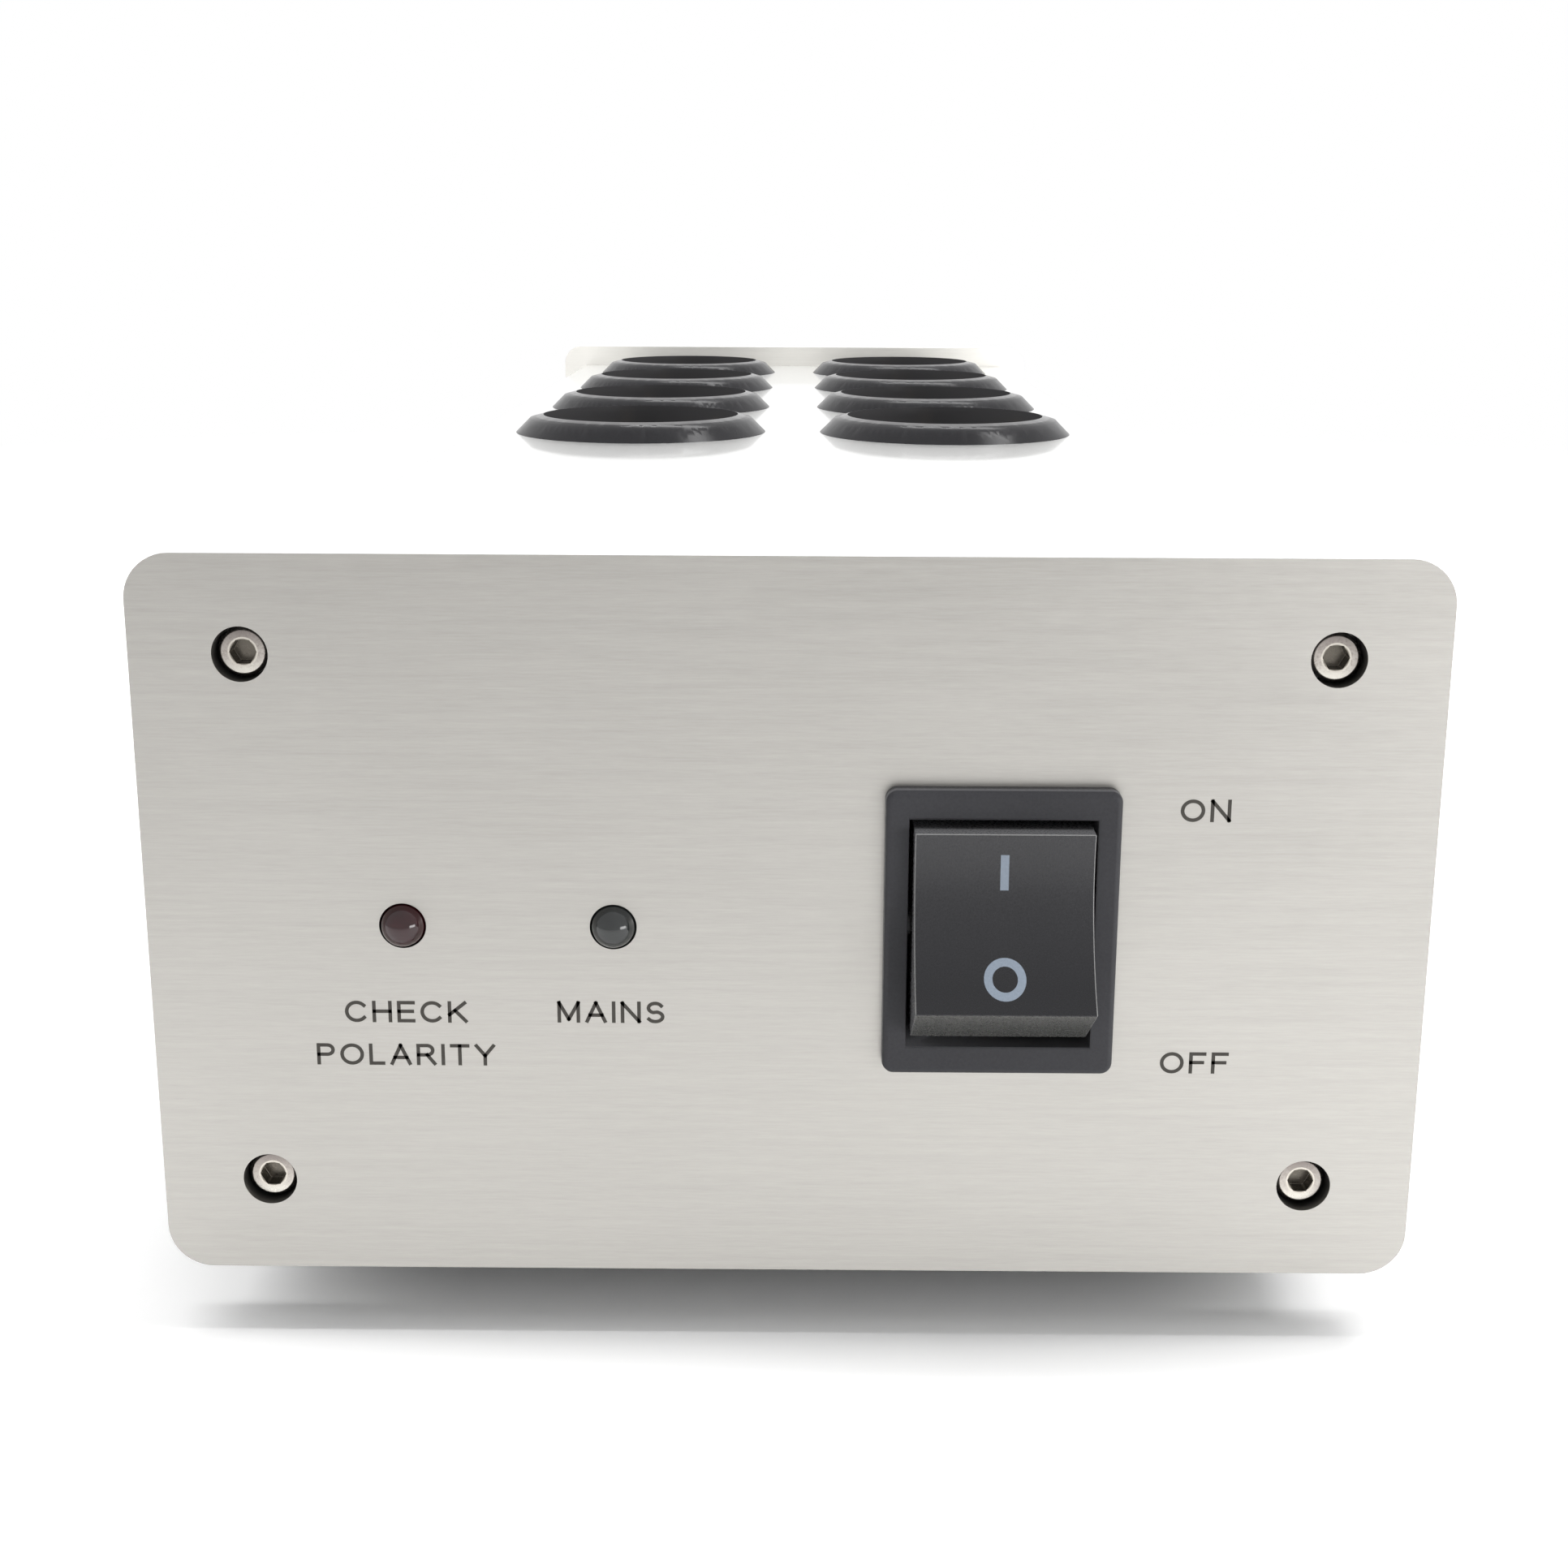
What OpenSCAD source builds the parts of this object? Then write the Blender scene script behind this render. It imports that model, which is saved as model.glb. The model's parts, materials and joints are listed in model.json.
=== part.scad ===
/* [Panels] */
// Width of the front and rear panels
panel_w = 140; // [138:0.5:150]
// Height of the front and rear panels
panel_h = 82; // [80:0.5:90]
// Thickness of the front and rear panels
panel_t = 6; // [5.6:0.1:8]
// Radius of the panels' corners
panel_corner_r = 5; // [2:0.5:8]
// Length over both panels
unit_len = 410; // [406:1:440]
// Height of the panels' lower edge above the floor
panel_lift = 8; // [6:0.5:12]

/* [Case] */
// Distance from the panels' edges in to the case
case_step = 5.6; // [4.6:0.1:6.2]
// Thickness of the case walls
wall_t = 3; // [2.6:0.1:3.4]
// Radius of the case's long edges
case_edge_r = 1.5; // [0.5:0.1:2.5]

/* [Panel screws] */
// Distance from the panels' sides to the screws
screw_inset_x = 11.9; // [11:0.1:13]
// Distance from the panels' upper and lower edges to the screws
screw_inset_z = 10.8; // [10.2:0.1:12]
// Radius of the screw shanks
screw_r = 1.5; // [1.4:0.05:1.55]
// Radius of the screw heads
screw_head_r = 2.75; // [2.5:0.05:2.85]
// Height of the screw heads
screw_head_h = 3; // [2.5:0.1:3.1]
// Bevel round the top of the screw heads
screw_head_bevel = 0.4; // [0.2:0.05:0.5]
// Length of the screw shanks
screw_len = 12; // [10:1:16]
// Depth of the screw heads below the panel's face
screw_sink = 1.3; // [0.5:0.1:1.4]
// Radius of the counterbores
counterbore_r = 3; // [2.95:0.05:3.4]
// Width across the flats of the key sockets
key_flats = 2.5; // [2:0.1:3]

/* [Outlets] */
// Distance from the rear face to the middle of the last row
last_row_inset = 36; // [33:1:38]
// Distance between the rows
row_pitch = 60; // [55:0.5:61]
// Distance between the two columns
column_pitch = 61; // [56:0.5:64]
// Radius of the outlets' flanges
flange_r = 25; // [24:0.25:26.5]
// Height of the flange's sloping edge
flange_bevel = 2.75; // [2:0.05:3]
// Height of the outlet's rim above the cover
rim_h = 3.5; // [3.2:0.1:5]
// Radius of the plug recess
recess_r = 19.5; // [19.2:0.1:20]
// Depth of the plug recess below the rim
recess_depth = 17.5; // [16:0.5:19]
// Distance between the two pin holes
pin_pitch = 19; // [18:0.5:20]
// Radius of the pin holes
pin_hole_r = 2.9; // [2.7:0.05:3]
// Turn of each outlet about its own axis
outlet_turn = 30; // [0:5:30]
// Height of the terminal housing below the recess
outlet_base_h = 20; // [19:0.5:21]

/* [Rocker switch] */
// Distance from the panel's middle to the switch's middle
switch_x = 23.1; // [20:0.5:26]
// Width of the bezel
bezel_w = 25.3; // [24.4:0.1:27]
// Height of the bezel
bezel_h = 32.3; // [31.6:0.1:34]
// Thickness of the bezel in front of the panel
bezel_t = 2; // [1.5:0.1:2.5]
// Width of the well that the rocker sits in
well_w = 20.2; // [20:0.1:20.4]
// Height of the well
well_h = 25.9; // [25.7:0.1:27]
// Length of the rocker's hollowed face
rocker_face_l = 19; // [17:0.1:19.5]
// Height of the rocker's face ends above its pivot
rocker_rise = 9.8; // [8:0.1:10.5]
// Hollow of the rocker's face at its middle
rocker_dish = 2.3; // [1:0.1:3]
// Tilt of the rocker to either side of the middle
rocker_tilt = 17.5; // [12:0.5:18]
// Depth of the rocker's pivot behind the panel's face
pivot_depth = 2.6; // [2.4:0.1:3]

/* [Lamps] */
// Distance from the panel's middle to the left lamp
left_lamp_x = 42; // [38:0.5:44]
// Distance from the panel's middle to the right lamp
right_lamp_x = 19; // [17:0.5:24]
// Radius of the lamp bodies
lamp_r = 2.45; // [2.3:0.05:2.5]
// Length of the lamps in front of their collars
lamp_len = 9.8; // [9.2:0.1:10.6]
// Height of the lamps' domes in front of the panel's face
lamp_proud = 1.9; // [1.7:0.1:2.2]

/* [Mains inlet] */
// Distance from the rear panel's middle to the inlet, towards the left seen from the front
inlet_x = 20; // [18:0.5:24]
// Height of the inlet's and the breaker's middle above the rear panel's lower edge
inlet_rise = 26; // [24:0.5:27]
// Width of the inlet's recess
inlet_recess_w = 29.5; // [29:0.1:30.2]
// Height of the inlet's recess
inlet_recess_h = 21.5; // [21:0.1:22.2]
// Depth of the inlet's recess
inlet_recess_depth = 18; // [16:0.5:19]

/* [Breaker] */
// Distance from the rear panel's middle to the breaker
breaker_x = 32; // [30:0.5:34]
// Radius of the breaker's button
button_r = 3.3; // [3:0.1:3.5]
// Travel of the button when the breaker trips
button_travel = 3; // [2:0.1:3.2]

/* [Feet] */
// Distance from the panels' sides to the feet's middles
foot_inset_x = 25; // [22:0.5:30]
// Distance from the front and rear faces to the feet's middles
foot_inset_y = 30; // [28:0.5:36]
// Radius of the feet where they meet the case
foot_r = 12.5; // [10:0.5:14]

/* [Filter] */
// Length of the filter board
board_l = 120; // [118:1:124]
// Width of the filter board
board_w = 100; // [98:1:104]
// Height of the standoffs under the filter board
standoff_h = 8; // [6:0.5:10]

/* [Hidden] */
$fn = 64;

// Overrun of every cut past the face that it opens
cut = 1;
// Gap of a sliding or turning fit
running_gap = 0.05;
// Gap round a piece that is set into a slot or a hole
set_gap = 0.05;
// Gap round a piece that only has to clear its neighbour
free_gap = 0.3;

// Case
case_w = panel_w - 2 * case_step;
case_low_z = panel_lift + case_step;
case_high_z = panel_lift + panel_h - case_step;
mid_z = panel_lift + panel_h / 2;
case_near_y = panel_t;
case_far_y = unit_len - panel_t;
inner_x = case_w / 2 - wall_t;
floor_z = case_low_z + wall_t;
channel_wall = 1.65;
channel_r = screw_r + set_gap + channel_wall;
tongue_t = 1.2;
tongue_h = 2.5;
tongue_gap = 0.1;

// Panel screws
screw_x = panel_w / 2 - screw_inset_x;
screw_low_z = panel_lift + screw_inset_z;
screw_high_z = panel_lift + panel_h - screw_inset_z;
screw_places = [for (x = [-screw_x, screw_x], z = [screw_low_z, screw_high_z]) [x, z]];
screw_hole_gap = 0.1;
key_depth = 1.6;
seat_depth = screw_sink + screw_head_h;

// Outlets: the middle of each, rows from the front, left column first
outlet_rows = 4;
last_row_y = unit_len - last_row_inset;
first_row_y = last_row_y - (outlet_rows - 1) * row_pitch;
outlet_places = [for (x = [-column_pitch / 2, column_pitch / 2], k = [0 : outlet_rows - 1])
    [x, first_row_y + k * row_pitch]];
cup_wall = 2;
cup_r = recess_r + cup_wall;
cup_floor_t = 2.5;
cup_floor_z = rim_h - recess_depth;
cup_low_z = cup_floor_z - cup_floor_t;
cup_hole_r = cup_r + free_gap;
rib_w = 5;
rib_in = 2.1;
rib_drop = 5;
lug_w = 6;
lug_h = 2.5;
lug_reach = 1.1;
lug_turn = 15;
clip_w = 5.5;
clip_t = 0.8;
clip_slot_gap = 0.3;
clip_sink = 0.75;
clip_back_r = recess_r + clip_sink;
clip_bow = 1.8;
bow_low_share = 0.4;
bow_high_share = 0.6;
clip_top_drop = 4.5;
clip_tail_r = 1.5;
clip_tail_out = 7;
central_screw_r = 1.6;
central_head_r = 2.9;
central_head_h = 1.8;
central_seat = 1.3;
central_screw_len = 12;
drive_share = 0.7;
drive_w = 0.8;
base_step = 0.5;
base_r = cup_r - base_step;
base_low_z = cup_low_z - outlet_base_h;
sleeve_r = 3.5;
sleeve_bore_r = 2.45;
sleeve_floor = 1.2;
sleeve_tail_r = 1.5;
base_floor = 1.5;
sleeve_low_z = base_low_z + base_floor;
sleeve_high_z = cup_low_z - free_gap;

// Busbars
bar_w = 5;
bar_t = 1;
bar_drop = 2;
bar_end = 4;
contact_x = pin_pitch / 2 * cos(outlet_turn);
contact_y = pin_pitch / 2 * sin(outlet_turn);
tail_x = -clip_tail_out * sin(outlet_turn);
tail_y = clip_tail_out * cos(outlet_turn);
bar_high_z = case_high_z + base_low_z;
earth_bar_high_z = bar_high_z - bar_t - bar_drop;

// Rocker switch
bezel_corner_r = 1.3;
housing_wall = 0.8;
housing_w = well_w + 2 * housing_wall;
bezel_over_z = 1.35;
housing_h = bezel_h - 2 * bezel_over_z;
housing_depth = 20;
housing_back_t = 2;
clip_land = 2.5;
wing_w = 12;
wing_out = 0.8;
wing_len = 3;
rocker_side_gap = 0.5;
rocker_w = well_w - 2 * rocker_side_gap;
rocker_end_gap = 0.45;
rocker_end_r = well_h / 2 - rocker_end_gap;
rocker_shoulder = 0.8;
rocker_shoulder_z = sqrt(pow(rocker_end_r, 2) - pow(rocker_shoulder, 2));
rocker_skirt = 3.5;
rocker_wall = 1.2;
trunnion_r = 1.5;
trunnion_reach = well_w / 2 + housing_wall - set_gap;
pole_x = 5;
tube_r = 2.1;
tube_bore_r = 1.3;
tube_end = 7;
plunger_end = 10.4;
plunger_gap = 0.2;
plunger_len = 5.4;
face_bow_r = (pow(rocker_face_l / 2, 2) + pow(rocker_dish, 2)) / (2 * rocker_dish);
rocker_crown = rocker_rise - rocker_dish - rocker_wall;
bridge_w = 4;
bridge_t = 0.8;
bridge_half = 9;
bridge_tilt = 7;
bridge_seat_y = pivot_depth + plunger_end + plunger_gap + bridge_t;
contact_arm = 8;
contact_r = 1.6;
contact_gap = 0.1;
contact_y_in = bridge_seat_y + bridge_half * sin(bridge_tilt) + contact_gap;
housing_floor_y = housing_depth - housing_back_t;
fulcrum_w = 1.2;
blade_w = 6.3;
blade_t = 0.8;
blade_len = 9;
post_w = 4;
post_t = 1.6;

// Lamps
lamp_hole_gap = 0.1;
lamp_collar_r = 2.9;
lamp_collar_t = 1;
lamp_xs = [-left_lamp_x, -right_lamp_x];
lamp_dome_y = lamp_r - lamp_proud;
lamp_collar_y = lamp_len - lamp_proud;
lamp_board_y = lamp_collar_y + lamp_collar_t;
lamp_board_t = 1.6;
lamp_board_h = 14;
lamp_board_margin = 11;
lamp_lead = 0.5;
lamp_lead_gap = 2.54;
lamp_lead_len = 3;
spacer_r = 2.5;
spacer_stud_r = 1.2;
spacer_stud_len = 3.5;
spacer_out = 8;
spacer_xs = [-left_lamp_x - spacer_out, -right_lamp_x + spacer_out];
spacer_head_r = 1.8;
spacer_head_h = 1;

// Mains inlet
inlet_z = panel_lift + inlet_rise;
inlet_wall = 1.4;
inlet_body_w = inlet_recess_w + 2 * inlet_wall;
inlet_body_h = inlet_recess_h + 2 * inlet_wall;
inlet_body_depth = 24;
inlet_flange_w = 50;
inlet_flange_h = 28;
inlet_flange_t = 3;
inlet_flange_r = 3;
inlet_screw_x = 20;
inlet_screw_r = 1.5;
inlet_head_r = 2.9;
inlet_head_t = 1.5;
inlet_screw_len = 12;
inlet_nut_flats = 5.5;
inlet_nut_t = 2.4;
inlet_floor_y = unit_len + inlet_flange_t - inlet_recess_depth;
inlet_back_y = unit_len - inlet_body_depth;
inlet_pin_w = 8;
inlet_pin_t = 2;
inlet_pin_short = 2;
inlet_pin_x = 6.5;
inlet_pin_z = 4;
inlet_tab_len = 10;
inlet_pin_places = [[-inlet_pin_x, -inlet_pin_z], [inlet_pin_x, -inlet_pin_z], [0, inlet_pin_z]];

// Breaker
breaker_w = 34;
breaker_h = 14;
breaker_depth = 28;
neck_wall = 2.1;
neck_r = button_r + neck_wall;
neck_out = 5;
neck_nut_flats = 15;
neck_nut_t = 2.5;
button_out = 2;
button_collar_w = 0.9;
button_collar_r = button_r + button_collar_w;
button_collar_t = 1.5;
button_dish = 0.4;
button_dish_share = 0.7;
button_room = button_travel + button_collar_t + free_gap;
breaker_back_y = case_far_y - breaker_depth;
button_low_y = case_far_y - button_room - running_gap;
breaker_blade_x = 10;

// Feet
foot_taper = 1.5;
foot_tip_r = foot_r - foot_taper;
foot_h = case_low_z;
foot_seat = 6;
foot_bore_r = 4.2;
foot_screw_r = 2;
foot_head_r = 3.8;
foot_head_h = 2.6;
foot_nut_flats = 7;
foot_nut_t = 3.2;
foot_screw_end = 0.4;
foot_x = panel_w / 2 - foot_inset_x;
foot_near_y = foot_inset_y;
foot_far_y = unit_len - foot_inset_y;

// Filter
board_near_y = 45;
board_t = 1.6;
board_z = floor_z + standoff_h;
board_top_z = board_z + board_t;
board_mid_y = board_near_y + board_l / 2;
standoff_inset = 6;
standoff_flats = 6;
standoff_stud_r = 1.4;
standoff_head_r = 2;
standoff_head_h = 1.4;
standoff_places = [for (x = [-1, 1], y = [-1, 1])
    [x * (board_w / 2 - standoff_inset), board_mid_y + y * (board_l / 2 - standoff_inset)]];
choke_x = -24;
choke_out = 25;
core_r = 19;
core_bore_r = 10;
core_h = 13;
winding_t = 0.7;
turn_w = 1.4;
turn_out = 1.4;
turns = 9;
winding_arc = 120;
choke_gap = 0.05;
choke_lift = turn_out + choke_gap;
cap_x = 24;
cap_w = 31;
cap_t = 15;
cap_h = 17;
cap_count = 3;
varistor_x = 24;
varistor_r = 7;
varistor_t = 5;
varistor_lift = 2;
varistor_count = 3;
near_gap_share = 0.225;
cap_gap_share = 0.15;
middle_gap_share = 0.13;
varistor_gap_share = 0.085;
board_spare = board_l - cap_count * cap_t - varistor_count * varistor_t;
cap_pitch = cap_t + board_spare * cap_gap_share;
cap_first_y = board_near_y + board_spare * near_gap_share + cap_t / 2;
varistor_pitch = varistor_t + board_spare * varistor_gap_share;
varistor_first_y = cap_first_y + (cap_count - 1) * cap_pitch + cap_t / 2
    + board_spare * middle_gap_share + varistor_t / 2;
lead_w = 0.8;
lead_gap = 7.5;

// Wires
wire_r = 1.6;
wire_sides = 6;
wire_bend = 5;
lamp_wire_r = 0.8;
run_in = 5.2;
run_x = inner_x - run_in;
run_up = 2;
run_z = board_top_z + run_up;
pad_in = 6;
bend_share = 0.45;
bend_shares = [0, 0.5, 1];

// The bounding box's middle is the origin, with the rocker in front and the button behind
front_reach = norm([rocker_rise, rocker_face_l / 2])
    * sin(atan2(rocker_rise, rocker_face_l / 2) + rocker_tilt) - pivot_depth;
rear_reach = neck_out + button_out;
origin_y = (front_reach - unit_len - rear_reach) / 2;

// General shapes
module profile_y(near, far) {
    translate([0, far, 0]) rotate([90, 0, 0]) linear_extrude(far - near) children();
}

module rod_y(r, near, far, x, z) {
    translate([x, far, z]) rotate([90, 0, 0]) cylinder(r = r, h = far - near);
}

module box(low, high) {
    translate(low) cube(high - low);
}

module rounded(w, h, r) {
    square([w - 2 * r, h], center = true);
    square([w, h - 2 * r], center = true);
    for (x = [-1, 1], y = [-1, 1])
        translate([x * (w / 2 - r), y * (h / 2 - r)]) circle(r);
}

module hex_rod(flats, len) {
    cylinder(r = flats / 2 / cos(30), h = len, $fn = 6);
}

// A socket cap screw with its head's top at zero and its shank pointing down
module cap_screw() {
    difference() {
        union() {
            translate([0, 0, -screw_head_h])
                cylinder(r = screw_head_r, h = screw_head_h - screw_head_bevel);
            translate([0, 0, -screw_head_bevel])
                cylinder(r1 = screw_head_r, r2 = screw_head_r - screw_head_bevel, h = screw_head_bevel);
            translate([0, 0, -screw_head_h - screw_len]) cylinder(r = screw_r, h = screw_len + cut);
        }
        translate([0, 0, -key_depth]) hex_rod(key_flats, key_depth + cut);
    }
}

module panel_screws(face_y, direction) {
    for (p = screw_places)
        translate([p[0], face_y + direction * screw_sink, p[1]])
            rotate([90 * direction, 0, 0]) cap_screw();
}

// The plate both panels are cut from, with its four counterbored holes
module panel_plate(near, far, face_y, direction) {
    difference() {
        profile_y(near, far) translate([0, mid_z]) rounded(panel_w, panel_h, panel_corner_r);
        for (p = screw_places) {
            rod_y(screw_r + screw_hole_gap, near - cut, far + cut, p[0], p[1]);
            rod_y(counterbore_r,
                min(face_y - direction * cut, face_y + direction * seat_depth),
                max(face_y - direction * cut, face_y + direction * seat_depth), p[0], p[1]);
        }
    }
}

module front_panel() color("#cfccc4") difference() {
    panel_plate(0, panel_t, 0, 1);
    for (x = lamp_xs)
        rod_y(lamp_r + lamp_hole_gap, -cut, panel_t + cut, x, mid_z);
    for (x = spacer_xs)
        rod_y(spacer_stud_r + set_gap, panel_t - spacer_stud_len - set_gap, panel_t + cut, x, mid_z);
    translate([switch_x, 0, mid_z]) {
        box([-housing_w / 2 - set_gap, -cut, -housing_h / 2 - set_gap],
            [housing_w / 2 + set_gap, panel_t + cut, housing_h / 2 + set_gap]);
        for (side = [-1, 1])
            translate([0, clip_land, side * housing_h / 2])
                box([-wing_w / 2 - free_gap, 0, -wing_out - free_gap],
                    [wing_w / 2 + free_gap, panel_t, wing_out + free_gap]);
    }
}

module rear_panel() color("#cfccc4") difference() {
    panel_plate(case_far_y, unit_len, unit_len, -1);
    translate([-inlet_x, 0, inlet_z]) {
        box([-inlet_body_w / 2 - set_gap, case_far_y - cut, -inlet_body_h / 2 - set_gap],
            [inlet_body_w / 2 + set_gap, unit_len + cut, inlet_body_h / 2 + set_gap]);
        for (side = [-1, 1])
            rod_y(inlet_screw_r + screw_hole_gap, case_far_y - cut, unit_len + cut,
                side * inlet_screw_x, 0);
    }
    rod_y(neck_r + set_gap, case_far_y - cut, unit_len + cut, breaker_x, inlet_z);
}

module front_panel_screws() color("#b9b7b1") panel_screws(0, 1);

module rear_panel_screws() color("#b9b7b1") panel_screws(unit_len, -1);

// Half of the case's outline, with its two screw channels, in the plane of the panels
module case_half(low, high, channel_z, corner_z) {
    difference() {
        union() {
            difference() {
                intersection() {
                    translate([0, (case_low_z + case_high_z) / 2])
                        rounded(case_w, case_high_z - case_low_z, case_edge_r);
                    translate([-case_w / 2, low]) square([case_w, high - low]);
                }
                translate([-inner_x, case_low_z + wall_t])
                    square([2 * inner_x, case_high_z - case_low_z - 2 * wall_t]);
            }
            for (side = [-1, 1]) {
                translate([side * screw_x, channel_z]) circle(channel_r);
                translate([side < 0 ? -inner_x - cut : screw_x, min(channel_z, corner_z)])
                    square([inner_x + cut - screw_x, abs(corner_z - channel_z)]);
            }
        }
        for (side = [-1, 1])
            translate([side * screw_x, channel_z]) circle(screw_r + set_gap);
    }
}

module case_top() color("#e4e3df") difference() {
    profile_y(case_near_y, case_far_y) difference() {
        case_half(mid_z, case_high_z, screw_high_z, case_high_z - wall_t / 2);
        for (side = [-1, 1])
            translate([side * (inner_x + tongue_t / 2), mid_z])
                square([tongue_t + 2 * tongue_gap, 2 * (tongue_h + tongue_gap)], center = true);
    }
    for (p = outlet_places)
        translate([p[0], p[1], case_high_z - wall_t - cut])
            cylinder(r = cup_hole_r, h = wall_t + 2 * cut);
}

module case_bottom() color("#d8d7d3") difference() {
    profile_y(case_near_y, case_far_y) {
        case_half(case_low_z, mid_z, screw_low_z, case_low_z + wall_t / 2);
        for (side = [-1, 1])
            translate([side * (inner_x + tongue_t / 2) - tongue_t / 2, mid_z - cut])
                square([tongue_t, tongue_h + cut]);
    }
    for (x = [-foot_x, foot_x], y = [foot_near_y, foot_far_y])
        translate([x, y, case_low_z - cut])
            cylinder(r = foot_screw_r + set_gap, h = wall_t + 2 * cut);
    for (p = standoff_places)
        translate([p[0], p[1], case_low_z - cut])
            cylinder(r = standoff_stud_r + set_gap, h = wall_t + 2 * cut);
}

// Feet
module foot(x, y) {
    color("#232325") translate([x, y, 0]) difference() {
        cylinder(r1 = foot_tip_r, r2 = foot_r, h = foot_h);
        translate([0, 0, -cut]) cylinder(r = foot_bore_r, h = foot_seat + cut);
        cylinder(r = foot_screw_r + screw_hole_gap, h = foot_h + cut);
    }
}

module foot_screws() color("#8d8f93") {
    for (x = [-foot_x, foot_x], y = [foot_near_y, foot_far_y])
        translate([x, y, foot_seat]) difference() {
            union() {
                translate([0, 0, -foot_head_h]) cylinder(r = foot_head_r, h = foot_head_h);
                cylinder(r = foot_screw_r, h = floor_z + foot_nut_t + foot_screw_end - foot_seat);
            }
            for (turn = [0, 90])
                rotate([0, 0, turn])
                    box([-foot_head_r * drive_share, -drive_w / 2, -foot_head_h - cut],
                        [foot_head_r * drive_share, drive_w / 2, -foot_head_h / 2]);
        }
}

module foot_nuts() color("#a9abae") {
    for (x = [-foot_x, foot_x], y = [foot_near_y, foot_far_y])
        translate([x, y, floor_z]) difference() {
            hex_rod(foot_nut_flats, foot_nut_t);
            translate([0, 0, -cut]) cylinder(r = foot_screw_r + set_gap, h = foot_nut_t + 2 * cut);
        }
}

// Puts its children at every outlet's middle, on the cover's top
module at_outlets() {
    for (p = outlet_places)
        translate([p[0], p[1], case_high_z]) rotate([0, 0, outlet_turn]) children();
}

module at_outlet(k) {
    translate([outlet_places[k - 1][0], outlet_places[k - 1][1], case_high_z])
        rotate([0, 0, outlet_turn]) children();
}

// The outlet's moulding: flange, plug recess, guide ribs, pin holes and snap lugs
module outlet(k) {
    color("#2b2b2d") at_outlet(k) difference() {
        union() {
            rotate_extrude() polygon([
                [0, cup_low_z], [cup_r, cup_low_z], [cup_r, 0], [flange_r, 0],
                [flange_r - flange_bevel, flange_bevel], [recess_r, rim_h],
                [recess_r, cup_floor_z], [0, cup_floor_z]
            ]);
            for (side = [0, 180])
                rotate([0, 0, side])
                    box([recess_r - rib_in, -rib_w / 2, cup_floor_z - cut / 2],
                        [recess_r + cup_wall / 2, rib_w / 2, rim_h - rib_drop]);
            for (turn = [0 : 3])
                rotate([0, 0, lug_turn + turn * 90])
                    box([cup_r - cup_wall / 2, -lug_w / 2, -wall_t - lug_h],
                        [cup_r + lug_reach, lug_w / 2, -wall_t]);
        }
        for (side = [-1, 1])
            translate([side * pin_pitch / 2, 0, cup_low_z - cut])
                cylinder(r = pin_hole_r, h = cup_floor_t + 2 * cut);
        translate([0, 0, cup_low_z - cut])
            cylinder(r = central_screw_r + set_gap, h = cup_floor_t + 2 * cut);
        translate([0, 0, cup_floor_z - central_seat])
            cylinder(r = central_head_r + free_gap, h = central_seat + cut);
        for (turn = [90, 270])
            rotate([0, 0, turn])
                box([clip_back_r - clip_t - clip_slot_gap, -clip_w / 2 - clip_slot_gap, cup_low_z - cut],
                    [clip_back_r + clip_slot_gap, clip_w / 2 + clip_slot_gap,
                        rim_h - clip_top_drop + clip_slot_gap]);
    }
}

// The terminal housing that is screwed under the outlet's moulding
module outlet_base(k) {
    color("#d9d5c8") at_outlet(k) difference() {
        translate([0, 0, base_low_z]) cylinder(r = base_r, h = outlet_base_h);
        box([-clip_w / 2 - set_gap, -base_r - cut, cup_low_z - clip_t - set_gap],
            [clip_w / 2 + set_gap, base_r + cut, cup_low_z + cut]);
        for (side = [-1, 1])
            translate([side * pin_pitch / 2, 0, 0]) {
                translate([0, 0, sleeve_low_z])
                    cylinder(r = sleeve_r + set_gap, h = cup_low_z - sleeve_low_z + cut);
                translate([0, 0, base_low_z - cut])
                    cylinder(r = sleeve_tail_r + set_gap, h = base_floor + 2 * cut);
            }
        translate([0, clip_tail_out, base_low_z - cut])
            cylinder(r = clip_tail_r + set_gap, h = outlet_base_h + 2 * cut);
        translate([0, 0, cup_floor_z - central_seat - central_screw_len - free_gap])
            cylinder(r = central_screw_r + set_gap, h = central_screw_len);
    }
}

// One earth clip: two bowed arms, the strap that joins them and the tail to the busbar
module earth_clip() {
    arm_top = rim_h - clip_top_drop;
    bow_low = cup_floor_z + recess_depth * bow_low_share;
    bow_high = cup_floor_z + recess_depth * bow_high_share;
    strap_z = cup_low_z - clip_t;
    for (turn = [90, 270])
        rotate([0, 0, turn]) rotate([90, 0, 0]) linear_extrude(clip_w, center = true) polygon([
            [clip_back_r, strap_z], [clip_back_r, cup_floor_z],
            [clip_back_r - clip_bow, bow_low], [clip_back_r - clip_bow, bow_high],
            [clip_back_r, arm_top], [clip_back_r - clip_t, arm_top],
            [clip_back_r - clip_bow - clip_t, bow_high], [clip_back_r - clip_bow - clip_t, bow_low],
            [clip_back_r - clip_t, cup_floor_z], [clip_back_r - clip_t, strap_z]
        ]);
    difference() {
        box([-clip_w / 2, -clip_back_r, strap_z], [clip_w / 2, clip_back_r, cup_low_z]);
        translate([0, 0, strap_z - cut])
            cylinder(r = central_screw_r + free_gap, h = clip_t + 2 * cut);
    }
    translate([0, clip_tail_out, earth_bar_high_z - case_high_z])
        cylinder(r = clip_tail_r, h = case_high_z - earth_bar_high_z + cup_low_z - clip_t / 2);
}

module earth_clips() color("#c9b37a") at_outlets() earth_clip();

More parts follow.
